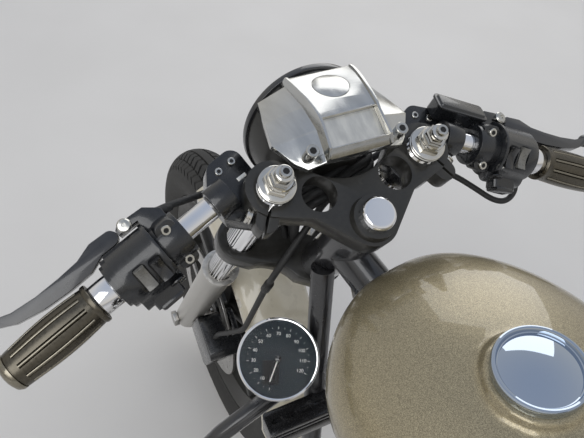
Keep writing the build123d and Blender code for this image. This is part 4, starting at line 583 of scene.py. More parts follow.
class MotorcycleLook(bpy.types.PropertyGroup):
    """Sizes and levels that a user may want to change."""

    key_power: bpy.props.FloatProperty(
        name="Key light", description="Power of the soft lamp on the left", default=85.0, unit="POWER"
    )
    fill_power: bpy.props.FloatProperty(
        name="Fill light", description="Power of the soft lamp on the right", default=40.0, unit="POWER"
    )
    sky_strength: bpy.props.FloatProperty(
        name="Sky", description="Strength of the even light from all round", default=0.62, min=0.0
    )
    lens: bpy.props.FloatProperty(
        name="Lens", description="Focal length of the camera on a 36 mm sensor, in millimetres", default=41.05
    )


# Sky: share of the way from straight down to straight up, colour; both ends come first
SKY_SHADES = (
    (0.0, (0.22, 0.19, 0.16)),
    (1.0, (0.66, 0.74, 0.90)),
    (0.49, (0.52, 0.50, 0.47)),
    (0.56, (1.0, 0.97, 0.91)),
    (0.74, (0.95, 0.96, 0.98)),
)
# Soft lamps: name, place and width in metres; both look at one place on the bike
LAMPS = (("key", (-1.5, 3.2, 3.6), 3.4), ("fill", (2.8, -2.6, 3.0), 3.0))
LAMP_TARGET = Vector((0.3, 0, 0.6))
FLOOR_SIZE = 60.0
FLOOR_TONES = ((0.70, 0.68, 0.65), (0.725, 0.705, 0.675))
# The camera's place and its turn, as a rotation vector, in the steered parts' frame in metres
CAMERA_PLACE = Vector((-0.11222, 0.31272, 0.625472))
CAMERA_TURN = Vector((1.82, -2.524, 0.631))


class MOTORCYCLE_OT_stage(bpy.types.Operator):
    """Floor, lamps, sky and the camera at the photograph's place"""

    bl_idname = "motorcycle.stage"
    bl_label = "Stage"

    def execute(self, context):
        look = context.scene.motorcycle_look
        world = bpy.data.worlds.new("studio_sky")
        context.scene.world = world
        world.use_nodes = True
        tree = world.node_tree
        way = tree.nodes.new("ShaderNodeTexCoord")
        split = tree.nodes.new("ShaderNodeSeparateXYZ")
        height = set_inputs(tree.nodes.new("ShaderNodeMapRange"), From_Min=-1.0)
        tree.links.new(way.outputs["Generated"], split.inputs["Vector"])
        tree.links.new(split.outputs["Z"], height.inputs["Value"])
        sky = set_inputs(tree.nodes["Background"], Strength=look.sky_strength)
        tree.links.new(color_ramp(tree, height.outputs["Result"], *SKY_SHADES), sky.inputs["Color"])

        bpy.ops.mesh.primitive_plane_add(size=FLOOR_SIZE, location=(0, 0, -0.0005))
        floor = context.object
        floor.name = "studio_floor"
        material, tree, shader = start_material("pale_floor", (0.62, 0.61, 0.59), 0.0, 0.85)
        vary_color(tree, shader, object_noise(tree, 2.0, 3.0), *FLOOR_TONES)
        floor.data.materials.append(material)

        for name, place, size in LAMPS:
            data = bpy.data.lights.new(name + "_lamp", "AREA")
            data.energy = getattr(look, name + "_power")
            data.size = size
            lamp = add_object(name + "_lamp", data)
            lamp.location = place
            lamp.rotation_euler = (LAMP_TARGET - Vector(place)).to_track_quat("-Z", "Y").to_euler()

        data = bpy.data.cameras.new("photo_camera")
        data.lens = look.lens
        data.sensor_width = 36.0
        data.clip_start = 0.02
        camera = add_object("photo_camera", data)
        right, down, ahead = Matrix.Rotation(CAMERA_TURN.length, 3, CAMERA_TURN.normalized())
        camera.matrix_world = fork @ axes_matrix(CAMERA_PLACE, right, -down, -ahead)
        context.scene.camera = camera
        context.scene.view_settings.view_transform = "Standard"
        return {"FINISHED"}


class MOTORCYCLE_OT_skins(bpy.types.Operator):
    """Rounded skins of the rigid pieces, each in its finish"""

    bl_idname = "motorcycle.skins"
    bl_label = "Rounded skins"

    def execute(self, context):
        record = frame["record"]
        slots = {entry["node"]: entry["material_slot"] for entry in record["subparts"]}
        bodies = {node: body for body, nodes in record["behaviour"]["bodies"].items() for node in nodes}
        for node, width in ROUNDED_NODES.items():
            piece = soften(node, width, cell=EVEN_CELLS.get(node, 0.0))
            finish = "gloss_black" if node in GLOSSY_NODES else None
            finish_piece(piece, bodies[node], slots[node], finish, (node,))
        return {"FINISHED"}


# Grips: where the sleeve and its bowed body start along the bar, the left tip, radius and bulge
GRIP_START = 165.0
GRIP_BODY = 171.0
GRIP_TIP = 275.6
GRIP_END = 13.0
GRIP_RADIUS = 20.1
GRIP_BELLY = 3.0
GRIP_SLOTS = 10
GRIP_STEPS = 14
# The collar at the sleeve's start: radius and height
GRIP_COLLAR = ((13.2, 0), (21.6, 0), (22.2, 0.8), (22.2, 4))


class MOTORCYCLE_OT_grips(bpy.types.Operator):
    """Black anodised grips with long slots, a rail in each, and domed ends"""

    bl_idname = "motorcycle.grips"
    bl_label = "Grips"

    def radius_at(self, share):
        return GRIP_RADIUS + GRIP_BELLY * math.sin(math.pi * (0.12 + 0.86 * share)) ** 1.2

    def sleeve(self, body_end, edge):
        """The turned sleeve with a collar at its start."""
        profile = [(radius, GRIP_START + rise) for radius, rise in GRIP_COLLAR]
        for step in range(GRIP_STEPS + 1):
            share = step / GRIP_STEPS
            profile.append((self.radius_at(share), GRIP_BODY + share * (body_end - GRIP_BODY)))
        profile += [(edge - 1.0, body_end + 0.4), (edge - 1.2, body_end + 1.6)]
        return lathe("sleeve", profile, 80)

    def carve(self, piece, start, end):
        """Cut the slots with a ring of bowed tubes and lay a slimmer rail in each."""
        spots = []
        for step in range(7):
            along = start + step / 6 * (end - start)
            spots.append((self.radius_at((along - GRIP_BODY) / (end + 8 - GRIP_BODY)), along))
        turns = [Matrix.Rotation(2 * math.pi * i / GRIP_SLOTS + 0.2, 4, "Z") for i in range(GRIP_SLOTS)]
        cutter = spread(cable("cutter", [(r + 0.9, 0, z) for r, z in spots], 2.9), "cutter", turns)
        apply_modifier(piece, "BOOLEAN", operation="DIFFERENCE", object=cutter)
        bpy.data.objects.remove(cutter)
        return spread(cable("rail", [(r - 1.1, 0, z) for r, z in spots], 1.5), "rail", turns)

    def execute(self, context):
        sleeves, rails, ends = [], [], []
        edge = self.radius_at(1.0)
        for side in BOTH_SIDES:
            tip = GRIP_TIP if side > 0 else GRIP_TIP - RIGHT_SHIFT
            body_end = tip - GRIP_END
            sleeve = self.sleeve(body_end, edge)
            rail = self.carve(sleeve, GRIP_START + 11, body_end - 7)
            dome = [(edge - 1.2, 1.6), (edge + 0.1, 2.2), (edge, 5.5), (edge - 2.5, 9.5), (edge - 8, 12)]
            dome = [(12.0, -1), *dome, (5, GRIP_END), (0, GRIP_END)]
            dome = [(radius, body_end + rise) for radius, rise in dome]
            home = bar_matrix(side)
            sleeves.append(put(round_edges(sleeve, 0.0), home))
            rails.append(put(rail, home))
            ends.append(put(lathe("end", dome, 64), home))
        finish_piece(join(sleeves, "grip_sleeves"), "steering", "grip_rubber", "anodised_black", ("grips",))
        finish_piece(join(rails, "grip_rails"), "steering", "grip_rubber", "anodised_olive")
        finish_piece(join(ends, "grip_ends"), "steering", "grip_rubber", "anodised_olive")
        return {"FINISHED"}


GAUGE_PLACE = (1109.0, 110.0, 767.0)
GAUGE_OUT = (-0.44, 0.26, 0.86)
GAUGE_AHEAD = (0.86, 0.0, 0.44)
GAUGE_CUP = ((0, -34), (36, -34), (42, -32), (45.5, -27), (46, -13), (50, -12), (51, -10.5), (51, -8))
GAUGE_BEZEL = (
    (50, -9), (51.4, -8.6), (52, -7.4), (52, -1.6), (51.2, 0), (49.8, 0.7), (48.4, 0.3), (47.4, -1), (47, -3),
)
GAUGE_DIAL = ((0, -3.6), (47.3, -3.6), (47.3, -2.0), (40.5, -2.6), (40, -2.9), (0, -2.9))
GAUGE_NEEDLE = ((0, -2.6), (4.2, -2.6), (4.2, -1.4), (3.2, -0.9), (0, -0.9))
GAUGE_GLASS = ((0, 0.2), (26, -0.1), (47.4, -1.2), (47.4, -1.9), (0, -0.7))
# The dial's turn and last figure, the angle of its zero, and the degrees of one unit
DIAL_TURN = math.radians(-30.0)
DIAL_TOP = 120
DIAL_ZERO = -164.5
DIAL_STEP = 2.35
HAND_ANGLE = 4.0
# Ticks of tens and of fives on the dial: length, width and height; figures: size
LONG_TICK = (3.2, 0.55, 0.2)
SHORT_TICK = (1.8, 0.35, 0.2)
TICK_RADIUS = 38.4
FIGURE_RADIUS = 31.0
FIGURE_SIZE = 6.0


class MOTORCYCLE_OT_gauge(bpy.types.Operator):
    """The gauge: cup, bezel, dial with figures, needle, a dark rectangle and glass"""

    bl_idname = "motorcycle.gauge"
    bl_label = "Gauge"

    def dial_spot(self, value, radius, height):
        """A frame on the dial at a value, its X pointing outwards."""
        turn = Matrix.Rotation(-math.radians(DIAL_ZERO + DIAL_STEP * value), 4, "Z")
        return turn @ Matrix.Translation((radius * MM, 0, height * MM))

    def marks(self):
        """The dial's ticks, and its figures, which all stand upright."""
        marks = []
        for value in range(0, DIAL_TOP + 1, 5):
            tick = block("tick", SHORT_TICK if value % 10 else LONG_TICK)
            marks.append(put(tick, self.dial_spot(value, TICK_RADIUS, -2.95)))
        for value in range(10, DIAL_TOP + 1, 10):
            upright = math.radians(DIAL_ZERO + DIAL_STEP * value) - math.pi / 2
            spot = self.dial_spot(value, FIGURE_RADIUS, -2.8) @ Matrix.Rotation(upright, 4, "Z")
            marks.append(put(letters(str(value), FIGURE_SIZE), spot))
        return join(marks, "gauge_marks")

    def execute(self, context):
        home = at(bike, GAUGE_PLACE, GAUGE_OUT, GAUGE_AHEAD) @ Matrix.Rotation(DIAL_TURN, 4, "Z")
        place = (home, "chassis", "chrome")
        finish_turned("gauge_cup", GAUGE_CUP, 72, *place, "satin_black", ("speedometer",))
        finish_turned("gauge_bezel", GAUGE_BEZEL, 96, *place)
        finish_turned("gauge_dial", GAUGE_DIAL, 96, *place, "dial_face")
        finish_piece(put(self.marks(), home), *place[1:], "dial_marks")
        finish_turned("needle", GAUGE_NEEDLE, 32, *place, "moulded_black")
        turn = Matrix.Rotation(-math.radians(DIAL_ZERO + HAND_ANGLE), 4, "Z")
        hand = put(block("gauge_hand", (33.0, 1.5, 0.5), 0.15), at(home @ turn, (13.5, 0, -2.2)))
        finish_piece(hand, *place[1:], "dial_marks")
        # A dark rectangle on the dial, left of its middle
        window = put(block("gauge_window", (30.0, 21.0, 0.12)), at(home, (-17, 9, -2.96)))
        finish_piece(window, *place[1:], "dial_window")
        finish_turned("gauge_glass", GAUGE_GLASS, 72, home, "chassis", "lamp_glass", "dial_glass")
        return {"FINISHED"}


# Screws of the steering: place on the left, radius, height
FORK_SCREWS = (
    ((109.8, 116.6, -28.3), 4.2, 1.6),
    ((101.9, 133.6, -28.3), 4.2, 1.6),
    ((77.0, 52.5, 35.4), 7.0, 3.5),
)
CAP_SCREW = ((60.7, 91.0, 43.6), 6.4, 5.4)
# The perch's screws: place along the bar, angle round it, distance from its middle and across
PERCH_SCREWS = [(side, 69.0, 31.0, 17.0, across) for side in BOTH_SIDES for across in (20.0, -20.0)]
PERCH_SCREW_SIZE = (5.2, 3.0)
CLIP_SLOT = (90.2, 111.6, -28.4)
CLIP_SLOT_WAY = (0.38, -0.925, 0)
PINCH_PLACE = (42.3, 119.9, -16.0)
PINCH_WAY = (0.6, 0.8, 0.0)
PINCH_BOLT = (
    (0, 0), (8.8, 0), (8.8, 1.8), (7.6, 2.2), (7.6, 3.2), (8.8, 3.6), (8.8, 5.4), (7.8, 6.2), (4, 6.4),
    (4, 4), (0, 4),
)
LEVER_PIVOT = ((0, 0), (7.5, 0), (7.5, 1.6), (6, 3), (2.4, 3.4), (2.2, 2.2), (0, 2.2))
PIVOT_PLACE = (40.5, -11.0, 97.0)
FORK_TOP = (60.7, 91.0, 6.0)
# Turned parts of a fork cap, from its base up: profile of radius and height, how many sides
FORK_CAP_BASE = (
    (0, 0), (20, 0), (20.4, 1), (20.4, 3.4), (18.9, 4.2), (18.9, 5), (20.2, 5.8), (20.2, 7.2),
    (19, 8), (0, 8),
)
FORK_CAP_PARTS = (
    (FORK_CAP_BASE, 64),
    (((0, 8), (16.2, 8), (16.8, 9), (16.8, 15.6), (15.4, 17), (0, 17)), 6),
    (((0, 17), (13.6, 17), (14, 17.6), (14, 20.6), (13, 22), (0, 22)), 48),
    (((0, 22), (11.8, 22), (12.4, 22.8), (12.4, 28.8), (11, 30), (0, 30)), 6),
    (((0, 30), (7.2, 30), (7.2, 33), (9, 33.6), (9.2, 35), (9.2, 37), (7.4, 38), (0, 38)), 40),
)


class MOTORCYCLE_OT_fork_screws(bpy.types.Operator):
    """Fork caps, pinch bolts, the screws of plates, posts and perches, lever pivots and plate slots"""

    bl_idname = "motorcycle.fork_screws"
    bl_label = "Screws of the steering"

    def execute(self, context):
        groups = [(twins(fork, place), *size) for place, *size in (*FORK_SCREWS, CAP_SCREW)]
        groups.append(([round_bar(*spot) for spot in PERCH_SCREWS], *PERCH_SCREW_SIZE))
        heads, floors = zip(*(screws(*group, "screws") for group in groups))
        caps = [spread(lathe("cap", *part), "cap", twins(fork, FORK_TOP)) for part in FORK_CAP_PARTS]
        pinches = twins(fork, PINCH_PLACE, PINCH_WAY, (0, 0, 1))
        caps.append(spread(lathe("pinch", PINCH_BOLT, 40), "pinch", pinches))
        pivots = [at(bar_matrix(side), PIVOT_PLACE, (0, -1, 0), (0, 0, 1)) for side in BOTH_SIDES]
        pivots = spread(lathe("pivot", LEVER_PIVOT, 32), "pivot", pivots)
        turned = join(caps, "fork_caps_turned")
        finish_piece(turned, "steering", "brushed_aluminium", "polished_cap", ("fork_caps",))
        finish_piece(join([*heads, pivots], "steering_screws"), "steering", "steel", "bright_screw")
        # Dark plugs in the sockets: painted shade
        finish_piece(join(floors, "steering_sockets"), "steering", "steel", "painted_shade")
        # Pale plates in the clip-ons' slots stand for the lit ground seen through them: painted light
        slots = twins(fork, CLIP_SLOT, ahead=CLIP_SLOT_WAY)
        slots = spread(block("slot", (12.0, 4.2, 0.3), 0.1), "clip_slots", slots)
        finish_piece(slots, "steering", "steel", "tray_floor")
        return {"FINISHED"}


# Rockers: place along the bar, angle round it, finish
ROCKERS = ((96.5, 36.0, "moulded_black"), (113.5, 31.0, "moulded_grey"))
ROCKER_SIZE = (11.4, 25.0, 6.0)
SLOT_FLOOR = 28.5
THUMB_SIZE = (27.0, 20.0, 6.5)
BOSS = ((0, 0), (8.5, 0), (8.5, 1.2), (7.2, 2.0), (0, 2.0))
ARROW = ((0, 0), (1.7, 0), (1.7, 0.15), (0, 0.15))
# Places of the thumb button, its boss and its mark: along the bar, angle round it, distance
THUMB_PLACE = (108, 102, 43.5)
BOSS_PLACE = (92, 88, 35.5)
ARROW_PLACE = (92, 62, 32.0)


class MOTORCYCLE_OT_switches(bpy.types.Operator):
    """Rockers, thumb buttons and their bare marks on both switch housings"""

    bl_idname = "motorcycle.switches"
    bl_label = "Switches"

    def rocker(self):
        """A rocker that dips along its middle."""
        piece = block("rocker", ROCKER_SIZE, 0.0, 9)
        for vertex in piece.data.vertices:
            if vertex.co.z > ROCKER_SIZE[2] / 2 * MM:
                side, reach = (vertex.co[axis] / (ROCKER_SIZE[axis] / 2 * MM) for axis in (0, 1))
                vertex.co.z += (3.4 * reach * reach - 2.4 - side * side) * MM
        return round_edges(piece, 2.2, 5, 50.0)

    def execute(self, context):
        groups = {"moulded_black": [], "moulded_grey": [], "dial_marks": []}
        for side in BOTH_SIDES:
            for along, angle, finish in ROCKERS:
                groups[finish].append(put(self.rocker(), round_bar(side, along, angle, SLOT_FLOOR)))
            thumb = put(block("thumb", THUMB_SIZE, 2.6), round_bar(side, *THUMB_PLACE))
            groups["moulded_black"] += [thumb, put(lathe("boss", BOSS, 32), round_bar(side, *BOSS_PLACE))]
            groups["dial_marks"].append(put(lathe("mark", ARROW, 3), round_bar(side, *ARROW_PLACE)))
        for finish, members in groups.items():
            finish_piece(join(members, "switch_" + finish), "steering", "black_plastic", finish)
        return {"FINISHED"}


# Routes over control points in the steered parts' frame, in millimetres
CLUTCH_ROUTE = (
    (76, 220, -34), (79, 212, -36), (84, 197, -42), (88, 173, -51), (93, 146, -61), (98, 124, -68),
    (104, 96, -84), (96, 60, -112), (64, 42, -150), (42, 34, -190),
)
LOOP_ROUTE = (
    (34, -34, -190), (62, -60, -150), (78, -104, -112), (62, -146, -90), (38, -172, -84), (14, -193, -84),
    (-6, -209, -84), (-14, -225, -83), (-8, -240, -80), (4, -244, -72), (14, -240, -62),
)
LEAD_ROUTE = (
    (34, 238, -78), (44, 212, -76), (62, 184, -72), (82, 150, -72), (96, 118, -84), (92, 72, -112),
    (70, 28, -150), (44, 18, -190),
)
CABLES = ((CLUTCH_ROUTE, 4.0), (LOOP_ROUTE, 3.8), (LEAD_ROUTE, 3.0))
# The loom behind the headlamp, seen dark through the clamp's hole, and how far ahead and lower its runs lie
LOOM_ROUTE = (
    (112, -30, -64), (92, -54, -54), (76, -46, -46), (72, -26, -45), (63, -2, -44), (57, 20, -45),
    (55, 38, -48), (52, 50, -72), (50, 40, -120), (46, 24, -188),
)
LOOM_RUNS = ((0, 0), (10, 3), (-9, 4))
LOOM_RADIUS = 5.5
BOOT = ((0, -2), (6.2, -2), (6.4, 0), (6.2, 10), (5.2, 22), (5.6, 23), (5.6, 25), (4.8, 26), (4.2, 32))


class MOTORCYCLE_OT_cables(bpy.types.Operator):
    """The clutch cable with its boot, the throttle cable's loop, the switches' lead and the loom"""

    bl_idname = "motorcycle.cables"
    bl_label = "Cables"

    def execute(self, context):
        runs = [cable("cable", route, radius) for route, radius in CABLES]
        for ahead, lower in LOOM_RUNS:
            runs.append(cable("loom", [(x + ahead, y, z - lower) for x, y, z in LOOM_ROUTE], LOOM_RADIUS))
        start, end = Vector(CLUTCH_ROUTE[0]), Vector(CLUTCH_ROUTE[3])
        runs.append(put(lathe("boot", BOOT, 32), at(Matrix(), start, end - start, (0, 0, 1))))
        finish_piece(put(join(runs, "steering_cables"), fork), "steering", "rubber")
        return {"FINISHED"}


CAP_PLACE = (859.0, 0.0, 991.0)
FUEL_CAP = (
    (0, 0), (40.5, 0), (41.4, 0.8), (41.4, 7.6), (42, 8.4), (42, 10.4), (41.2, 12), (39.8, 12.6),
    (38.2, 12.2), (37.2, 10.8), (36.6, 9), (35.6, 8.4), (33, 9.3), (27, 11.2), (19, 13.1), (10, 14.5),
    (4, 14.95), (0, 15),
)
TANK_NOSE = 1052.0
TANK_LENGTH = 452.0
TANK_SEAM_HALF_WIDTH = 120.75
TANK_FLOOR = 826.0
# The seam: share of the length back from the nose, share of the half width, rise of the floor
TANK_SECTIONS = (
    (0.0, 0.24, 22), (0.05, 0.58, 12), (0.14, 0.84, 4), (0.27, 0.985, 0), (0.45, 1.0, 0), (0.66, 0.86, -4),
    (0.85, 0.62, -8), (1.0, 0.42, -10),
)


class MOTORCYCLE_OT_tank_trim(bpy.types.Operator):
    """The fuel cap with its raised rim, in chrome tinted as a painted sky reflection, and the seam along the
    tank's lower edge, coloured as a painted warm highlight
    """

    bl_idname = "motorcycle.tank_trim"
    bl_label = "Fuel cap and tank seam"

    def execute(self, context):
        place = (at(bike, CAP_PLACE), "chassis", "chrome")
        # The cap's blue-grey chrome is a painted reflection of the sky
        finish_turned("fuel_cap_turned", FUEL_CAP, 128, *place, "mirror_chrome", ("fuel_cap",))
        seams = []
        for side in BOTH_SIDES:
            route = [
                (TANK_NOSE - back * TANK_LENGTH, side * TANK_SEAM_HALF_WIDTH * width, TANK_FLOOR + rise)
                for back, width, rise in TANK_SECTIONS
            ]
            seams.append(cable("seam", route, 2.4))
        # The seam's copper tone is a painted highlight
        finish_piece(put(join(seams, "tank_seam"), bike), "chassis", "tank_paint", "seam_copper")
        return {"FINISHED"}


# Tyres: CAD node, body, joint of its axle, radius, width, rim radius, pitches round it
TYRES = (
    ("front_tyre", "front_wheel", "front_wheel_spin", 331.0, 100.0, 241.0, 84),
    ("rear_tyre", "rear_wheel", "rear_wheel_spin", 320.0, 130.0, 212.0, 72),
)
BEAD_SHARE = 0.36
# Rows of one pitch: share of the pitch, sunk or not
PITCH_ROWS = ((0.0, 0), (0.70, 0), (0.76, 1), (0.94, 1))
# Columns over one half of the tread: degrees round the crown, sunk or not
TREAD_COLUMNS = (
    (0, 0), (5, 0), (9, 0), (9.8, 1), (12.2, 1), (13, 0), (22, 0), (30, 0), (38, 0), (38.8, 1), (41, 1),
    (41.8, 0), (50, 0), (58, 0),
)
TREAD_EDGE = 58
# Past the tread a column's degrees are only a mark
SIDEWALL = 90
RIB_EDGE = 12.5
TREAD_DEPTH = 4.5
CHEVRON = 0.055
CHEVRON_STEP = 20
# Shares of the width: how far the crown drops to the shoulder, and how far the sidewall bulges
CROWN_DROP = 0.42
BULGE = 0.02


class MOTORCYCLE_OT_tyres(bpy.types.Operator):
    """Tyres with a zigzag tread of blocks between slanted grooves"""

    bl_idname = "motorcycle.tyres"
    bl_label = "Tyres"

    def section(self, radius, width, rim_radius):
        """Rows of radius, side place, tread degrees and groove, from one bead over the crown to the other."""
        drop = CROWN_DROP * width
        crown = (width * width / 4 + drop * drop) / (2 * drop)
        edge = math.degrees(math.asin(width / 2 / crown))
        half = []
        columns = [(degrees, degrees, sunk) for degrees, sunk in TREAD_COLUMNS]
        columns += [(TREAD_EDGE + (edge - TREAD_EDGE) * step, SIDEWALL, 0) for step in (0.5, 1.0)]
        for degrees, mark, sunk in columns:
            turn = math.radians(degrees)
            half.append((radius - crown + crown * math.cos(turn), crown * math.sin(turn), mark, sunk))
        shoulder = radius - drop
        for step in range(1, 8):
            share = step / 7
            place = width / 2 - (width / 2 - BEAD_SHARE * width) * share**1.8
            place += math.sin(math.pi * share) * BULGE * width
            half.append((shoulder + (rim_radius + 1 - shoulder) * share, place, SIDEWALL, 0))
        return [(r, -y, d, s) for r, y, d, s in half[:0:-1]] + half

    def zigzag(self, degrees):
        """How far round the wheel a tread column is shifted."""
        leg = degrees / CHEVRON_STEP
        return CHEVRON * (leg if leg < 1 else abs(2 - leg))

    def tyre(self, name, radius, width, rim_radius, pitches):
        section = self.section(radius, width, rim_radius)
        rows = [(pitch + share, sunk) for pitch in range(pitches) for share, sunk in PITCH_ROWS]
        rows.append((pitches, 0))
        bpy.ops.mesh.primitive_grid_add(
            x_subdivisions=len(section) - 1, y_subdivisions=len(rows) - 1, size=1.0
        )
        piece = bpy.context.object
        piece.name = name
        for index, vertex in enumerate(piece.data.vertices):
            row, column = divmod(index, len(section))
            r, y, degrees, sunk_column = section[column]
            turn, sunk_row = rows[row]
            turn *= 2 * math.pi / pitches
            if degrees <= TREAD_EDGE:
                turn += self.zigzag(degrees)
            if sunk_column or (sunk_row and RIB_EDGE < degrees <= TREAD_EDGE):
                r -= TREAD_DEPTH
            vertex.co = Vector((r * math.cos(turn), y, -r * math.sin(turn))) * MM
        with editing(piece):
            merge_doubles(0.00005)
        return round_edges(piece, 0.0, angle=28.0)

    def execute(self, context):
        for node, body, joint, *sizes in TYRES:
            tyre = put(self.tyre(node + "_tread", *sizes), hub_matrix(joint))
            finish_piece(tyre, body, "tyre", None, (node,))
        return {"FINISHED"}


# Where the fender starts ahead of the axle, in degrees forward from straight down, and the axle's place
FENDER_FRONT = math.radians(60.0)
FRONT_AXLE = Vector((60.7, 0.0, -775.0))


class MOTORCYCLE_OT_front_fender(bpy.types.Operator):
    """The front fender, cut back so that the tyre shows ahead of it as in the photograph"""

    bl_idname = "motorcycle.front_fender"
    bl_label = "Front fender"

    def execute(self, context):
        piece = soften("front_fender", 0.0)
        front = fork.to_3x3() @ Vector((math.sin(FENDER_FRONT), 0, -math.cos(FENDER_FRONT)))
        with editing(piece):
            bpy.ops.mesh.bisect(
                plane_co=fork @ (FRONT_AXLE * MM), plane_no=front, use_fill=True, clear_outer=True
            )
        finish_piece(piece, "steering", "fender_paint", None, ("front_fender",))
        return {"FINISHED"}


LAMP_PLACE = (143.6, 0.0, -69.3)
REFLECTOR = (
    (67, 2.5), (66, 2.5), (62, -7), (56, -18), (46, -31), (34, -42), (20, -50), (11, -53), (11, -55),
    (20, -53), (35, -45), (47, -34), (57, -21), (63, -10), (67, 0), (67, 2.5),
)
BULB = ((0, -56), (10.5, -56), (10.5, -50), (7, -48), (6.5, -30), (5, -26), (2, -24), (0, -23.8))
LENS = (
    (0, 15.5), (30, 14), (52, 9.5), (64, 4), (67.6, 4), (67.6, 7), (65, 9), (53, 14.5), (30, 18.8), (0, 20),
)
# The cover's tray in the steered parts' frame: middle, heights, length and width, its rim's width and height; its
# lighter floor and bright rims are painted light
TRAY_MIDDLE = 91.25
TRAY_FLOOR = 34.5
TRAY_RIM = 39.8
TRAY_SIZE = (33.5, 64.6)
TRIM = 1.5
TRIM_HEIGHT = 0.7


class MOTORCYCLE_OT_headlamp(bpy.types.Operator):
    """The headlamp's reflector, bulb and fluted glass, and the tray in its cover, with a lighter floor and bright
    rims as painted light
    """

    bl_idname = "motorcycle.headlamp"
    bl_label = "Headlamp"

    def execute(self, context):
        home = at(fork, LAMP_PLACE, (math.cos(RAKE), 0, -math.sin(RAKE)), (0, 1, 0))
        # The reflector's blue-grey chrome is a painted reflection of the sky
        finish_turned("lamp_reflector", REFLECTOR, 96, home, "steering", "chrome", "mirror_chrome")
        finish_turned("lamp_bulb", BULB, 32, home, "steering", "chrome", "bulb")
        lens = ("lamp_glass", "ribbed_glass", ("headlamp_lens",))
        finish_turned("lamp_lens", LENS, 96, home, "steering", *lens)
        length, width = TRAY_SIZE
        # A pale plate on the tray's floor: painted light
        floor = put(block("tray_floor", (length - 1, width - 1, 0.3)), at(fork, (TRAY_MIDDLE, 0, TRAY_FLOOR)))
        finish_piece(floor, "steering", "polished_aluminium", "tray_floor")
        # Bright polished strips round the tray stand for its lit edge: a painted highlight
        rims = []
        for way in BOTH_SIDES:
            ahead, beside = way * (length + TRIM) / 2, way * (width + TRIM) / 2
            for *size, x, y in ((TRIM, width + 2 * TRIM, ahead, 0), (length, TRIM, 0, beside)):
                rim = block("rim", (*size, TRIM_HEIGHT), 0.3)
                rims.append(put(rim, at(fork, (TRAY_MIDDLE + x, y, TRAY_RIM))))
        finish_piece(join(rims, "tray_rims"), "steering", "polished_aluminium", "polished_cap")
        return {"FINISHED"}


# Seat: places along the bike with the seam's height, and where the rays that find it start
SEAM_PLACES = (
    (585, 846), (530, 802), (470, 772), (430, 762), (370, 768), (310, 776), (240, 786), (170, 786),
    (100, 780),
)
SEAM_OUTSIDE = 260
SEAT_MIDDLE = Vector((300, 0, 706))
# The cloth: how far it shrinks first, its cells, how far it may swell, the height pinned, in metres
SEAT_SHRINK = 0.003
SEAT_VOXEL = 0.006
SEAT_SWELL = 0.009
SEAT_PINNED = 0.004
SEAT_PRESSURE = 4.0
SEAT_TENSION = 20.0
SEAT_FRAMES = 20


class MOTORCYCLE_OT_seat(bpy.types.Operator):
    """The padded leather seat, swollen by a cloth simulation over its flat base, with sewn seams"""

    bl_idname = "motorcycle.seat"
    bl_label = "Seat"

    def swell(self, piece, base):
        """Blow the pad up with cloth pressure, and keep each point within its cap."""
        rest = [vertex.co.copy() for vertex in piece.data.vertices]
        pinned = piece.vertex_groups.new(name="base")
        low = [i for i, spot in enumerate(rest) if (spot - base).dot(bike_up) < SEAT_PINNED]
        pinned.add(low, 1.0, "REPLACE")
        cloth = piece.modifiers.new("cloth", "CLOTH")
        cloth.settings.vertex_group_mass = "base"
        cloth.settings.use_pressure = True
        cloth.settings.uniform_pressure_force = SEAT_PRESSURE
        cloth.settings.effector_weights.gravity = 0.0
        cloth.settings.tension_stiffness = SEAT_TENSION
        for step in range(1, SEAT_FRAMES + 1):
            bpy.context.scene.frame_set(step)
        swollen = piece.evaluated_get(bpy.context.evaluated_depsgraph_get()).data
        moves = [(swollen.vertices[i].co - spot) for i, spot in enumerate(rest)]
        piece.modifiers.remove(cloth)
        bpy.context.scene.frame_set(1)
        for vertex, spot, move in zip(piece.data.vertices, rest, moves):
            vertex.co = spot + (move * min(1.0, SEAT_SWELL / move.length) if move.length > 0 else move)
        piece.vertex_groups.clear()

    def seam(self, piece, side):
        """A piped seam along one side, laid on the pad where a ray from the side meets it."""
        inwards = bike.to_3x3() @ Vector((0, -side, 0))
        points = []
        for x, z in SEAM_PLACES:
            hit, place, _, _ = piece.ray_cast(bike @ (Vector((x, side * SEAM_OUTSIDE, z)) * MM), inwards)
            if hit:
                points.append(tuple((bike.inverted() @ place) / MM))
        return cable("seam", points, 2.6)

    def execute(self, context):
        piece = soften("seat", 4.0, 3)
        base = bike @ (SEAT_MIDDLE * MM)
        low = min((vertex.co - base).dot(bike_up) for vertex in piece.data.vertices)
        with editing(piece):
            bpy.ops.transform.shrink_fatten(value=-SEAT_SHRINK)
        piece.data.remesh_voxel_size = SEAT_VOXEL
        bpy.ops.object.voxel_remesh()
        self.swell(piece, base + bike_up * (low + SEAT_SHRINK))
        apply_modifier(piece, "SUBSURF", levels=1, render_levels=1)
        select_only(piece)
        bpy.ops.object.shade_smooth()
        finish_piece(piece, "chassis", "seat_leather", None, ("seat",))
        piece.name = "seat_pad"
        seams = join([self.seam(piece, side) for side in BOTH_SIDES], "seat_seams")
        finish_piece(put(seams, bike), "chassis", "seat_leather")
        return {"FINISHED"}


SHOCK_LOW = Vector((70.0, 162.0, 352.0))
SHOCK_HIGH = Vector((160.0, 162.0, 655.0))
SHOCK_LENGTH = (SHOCK_HIGH - SHOCK_LOW).length
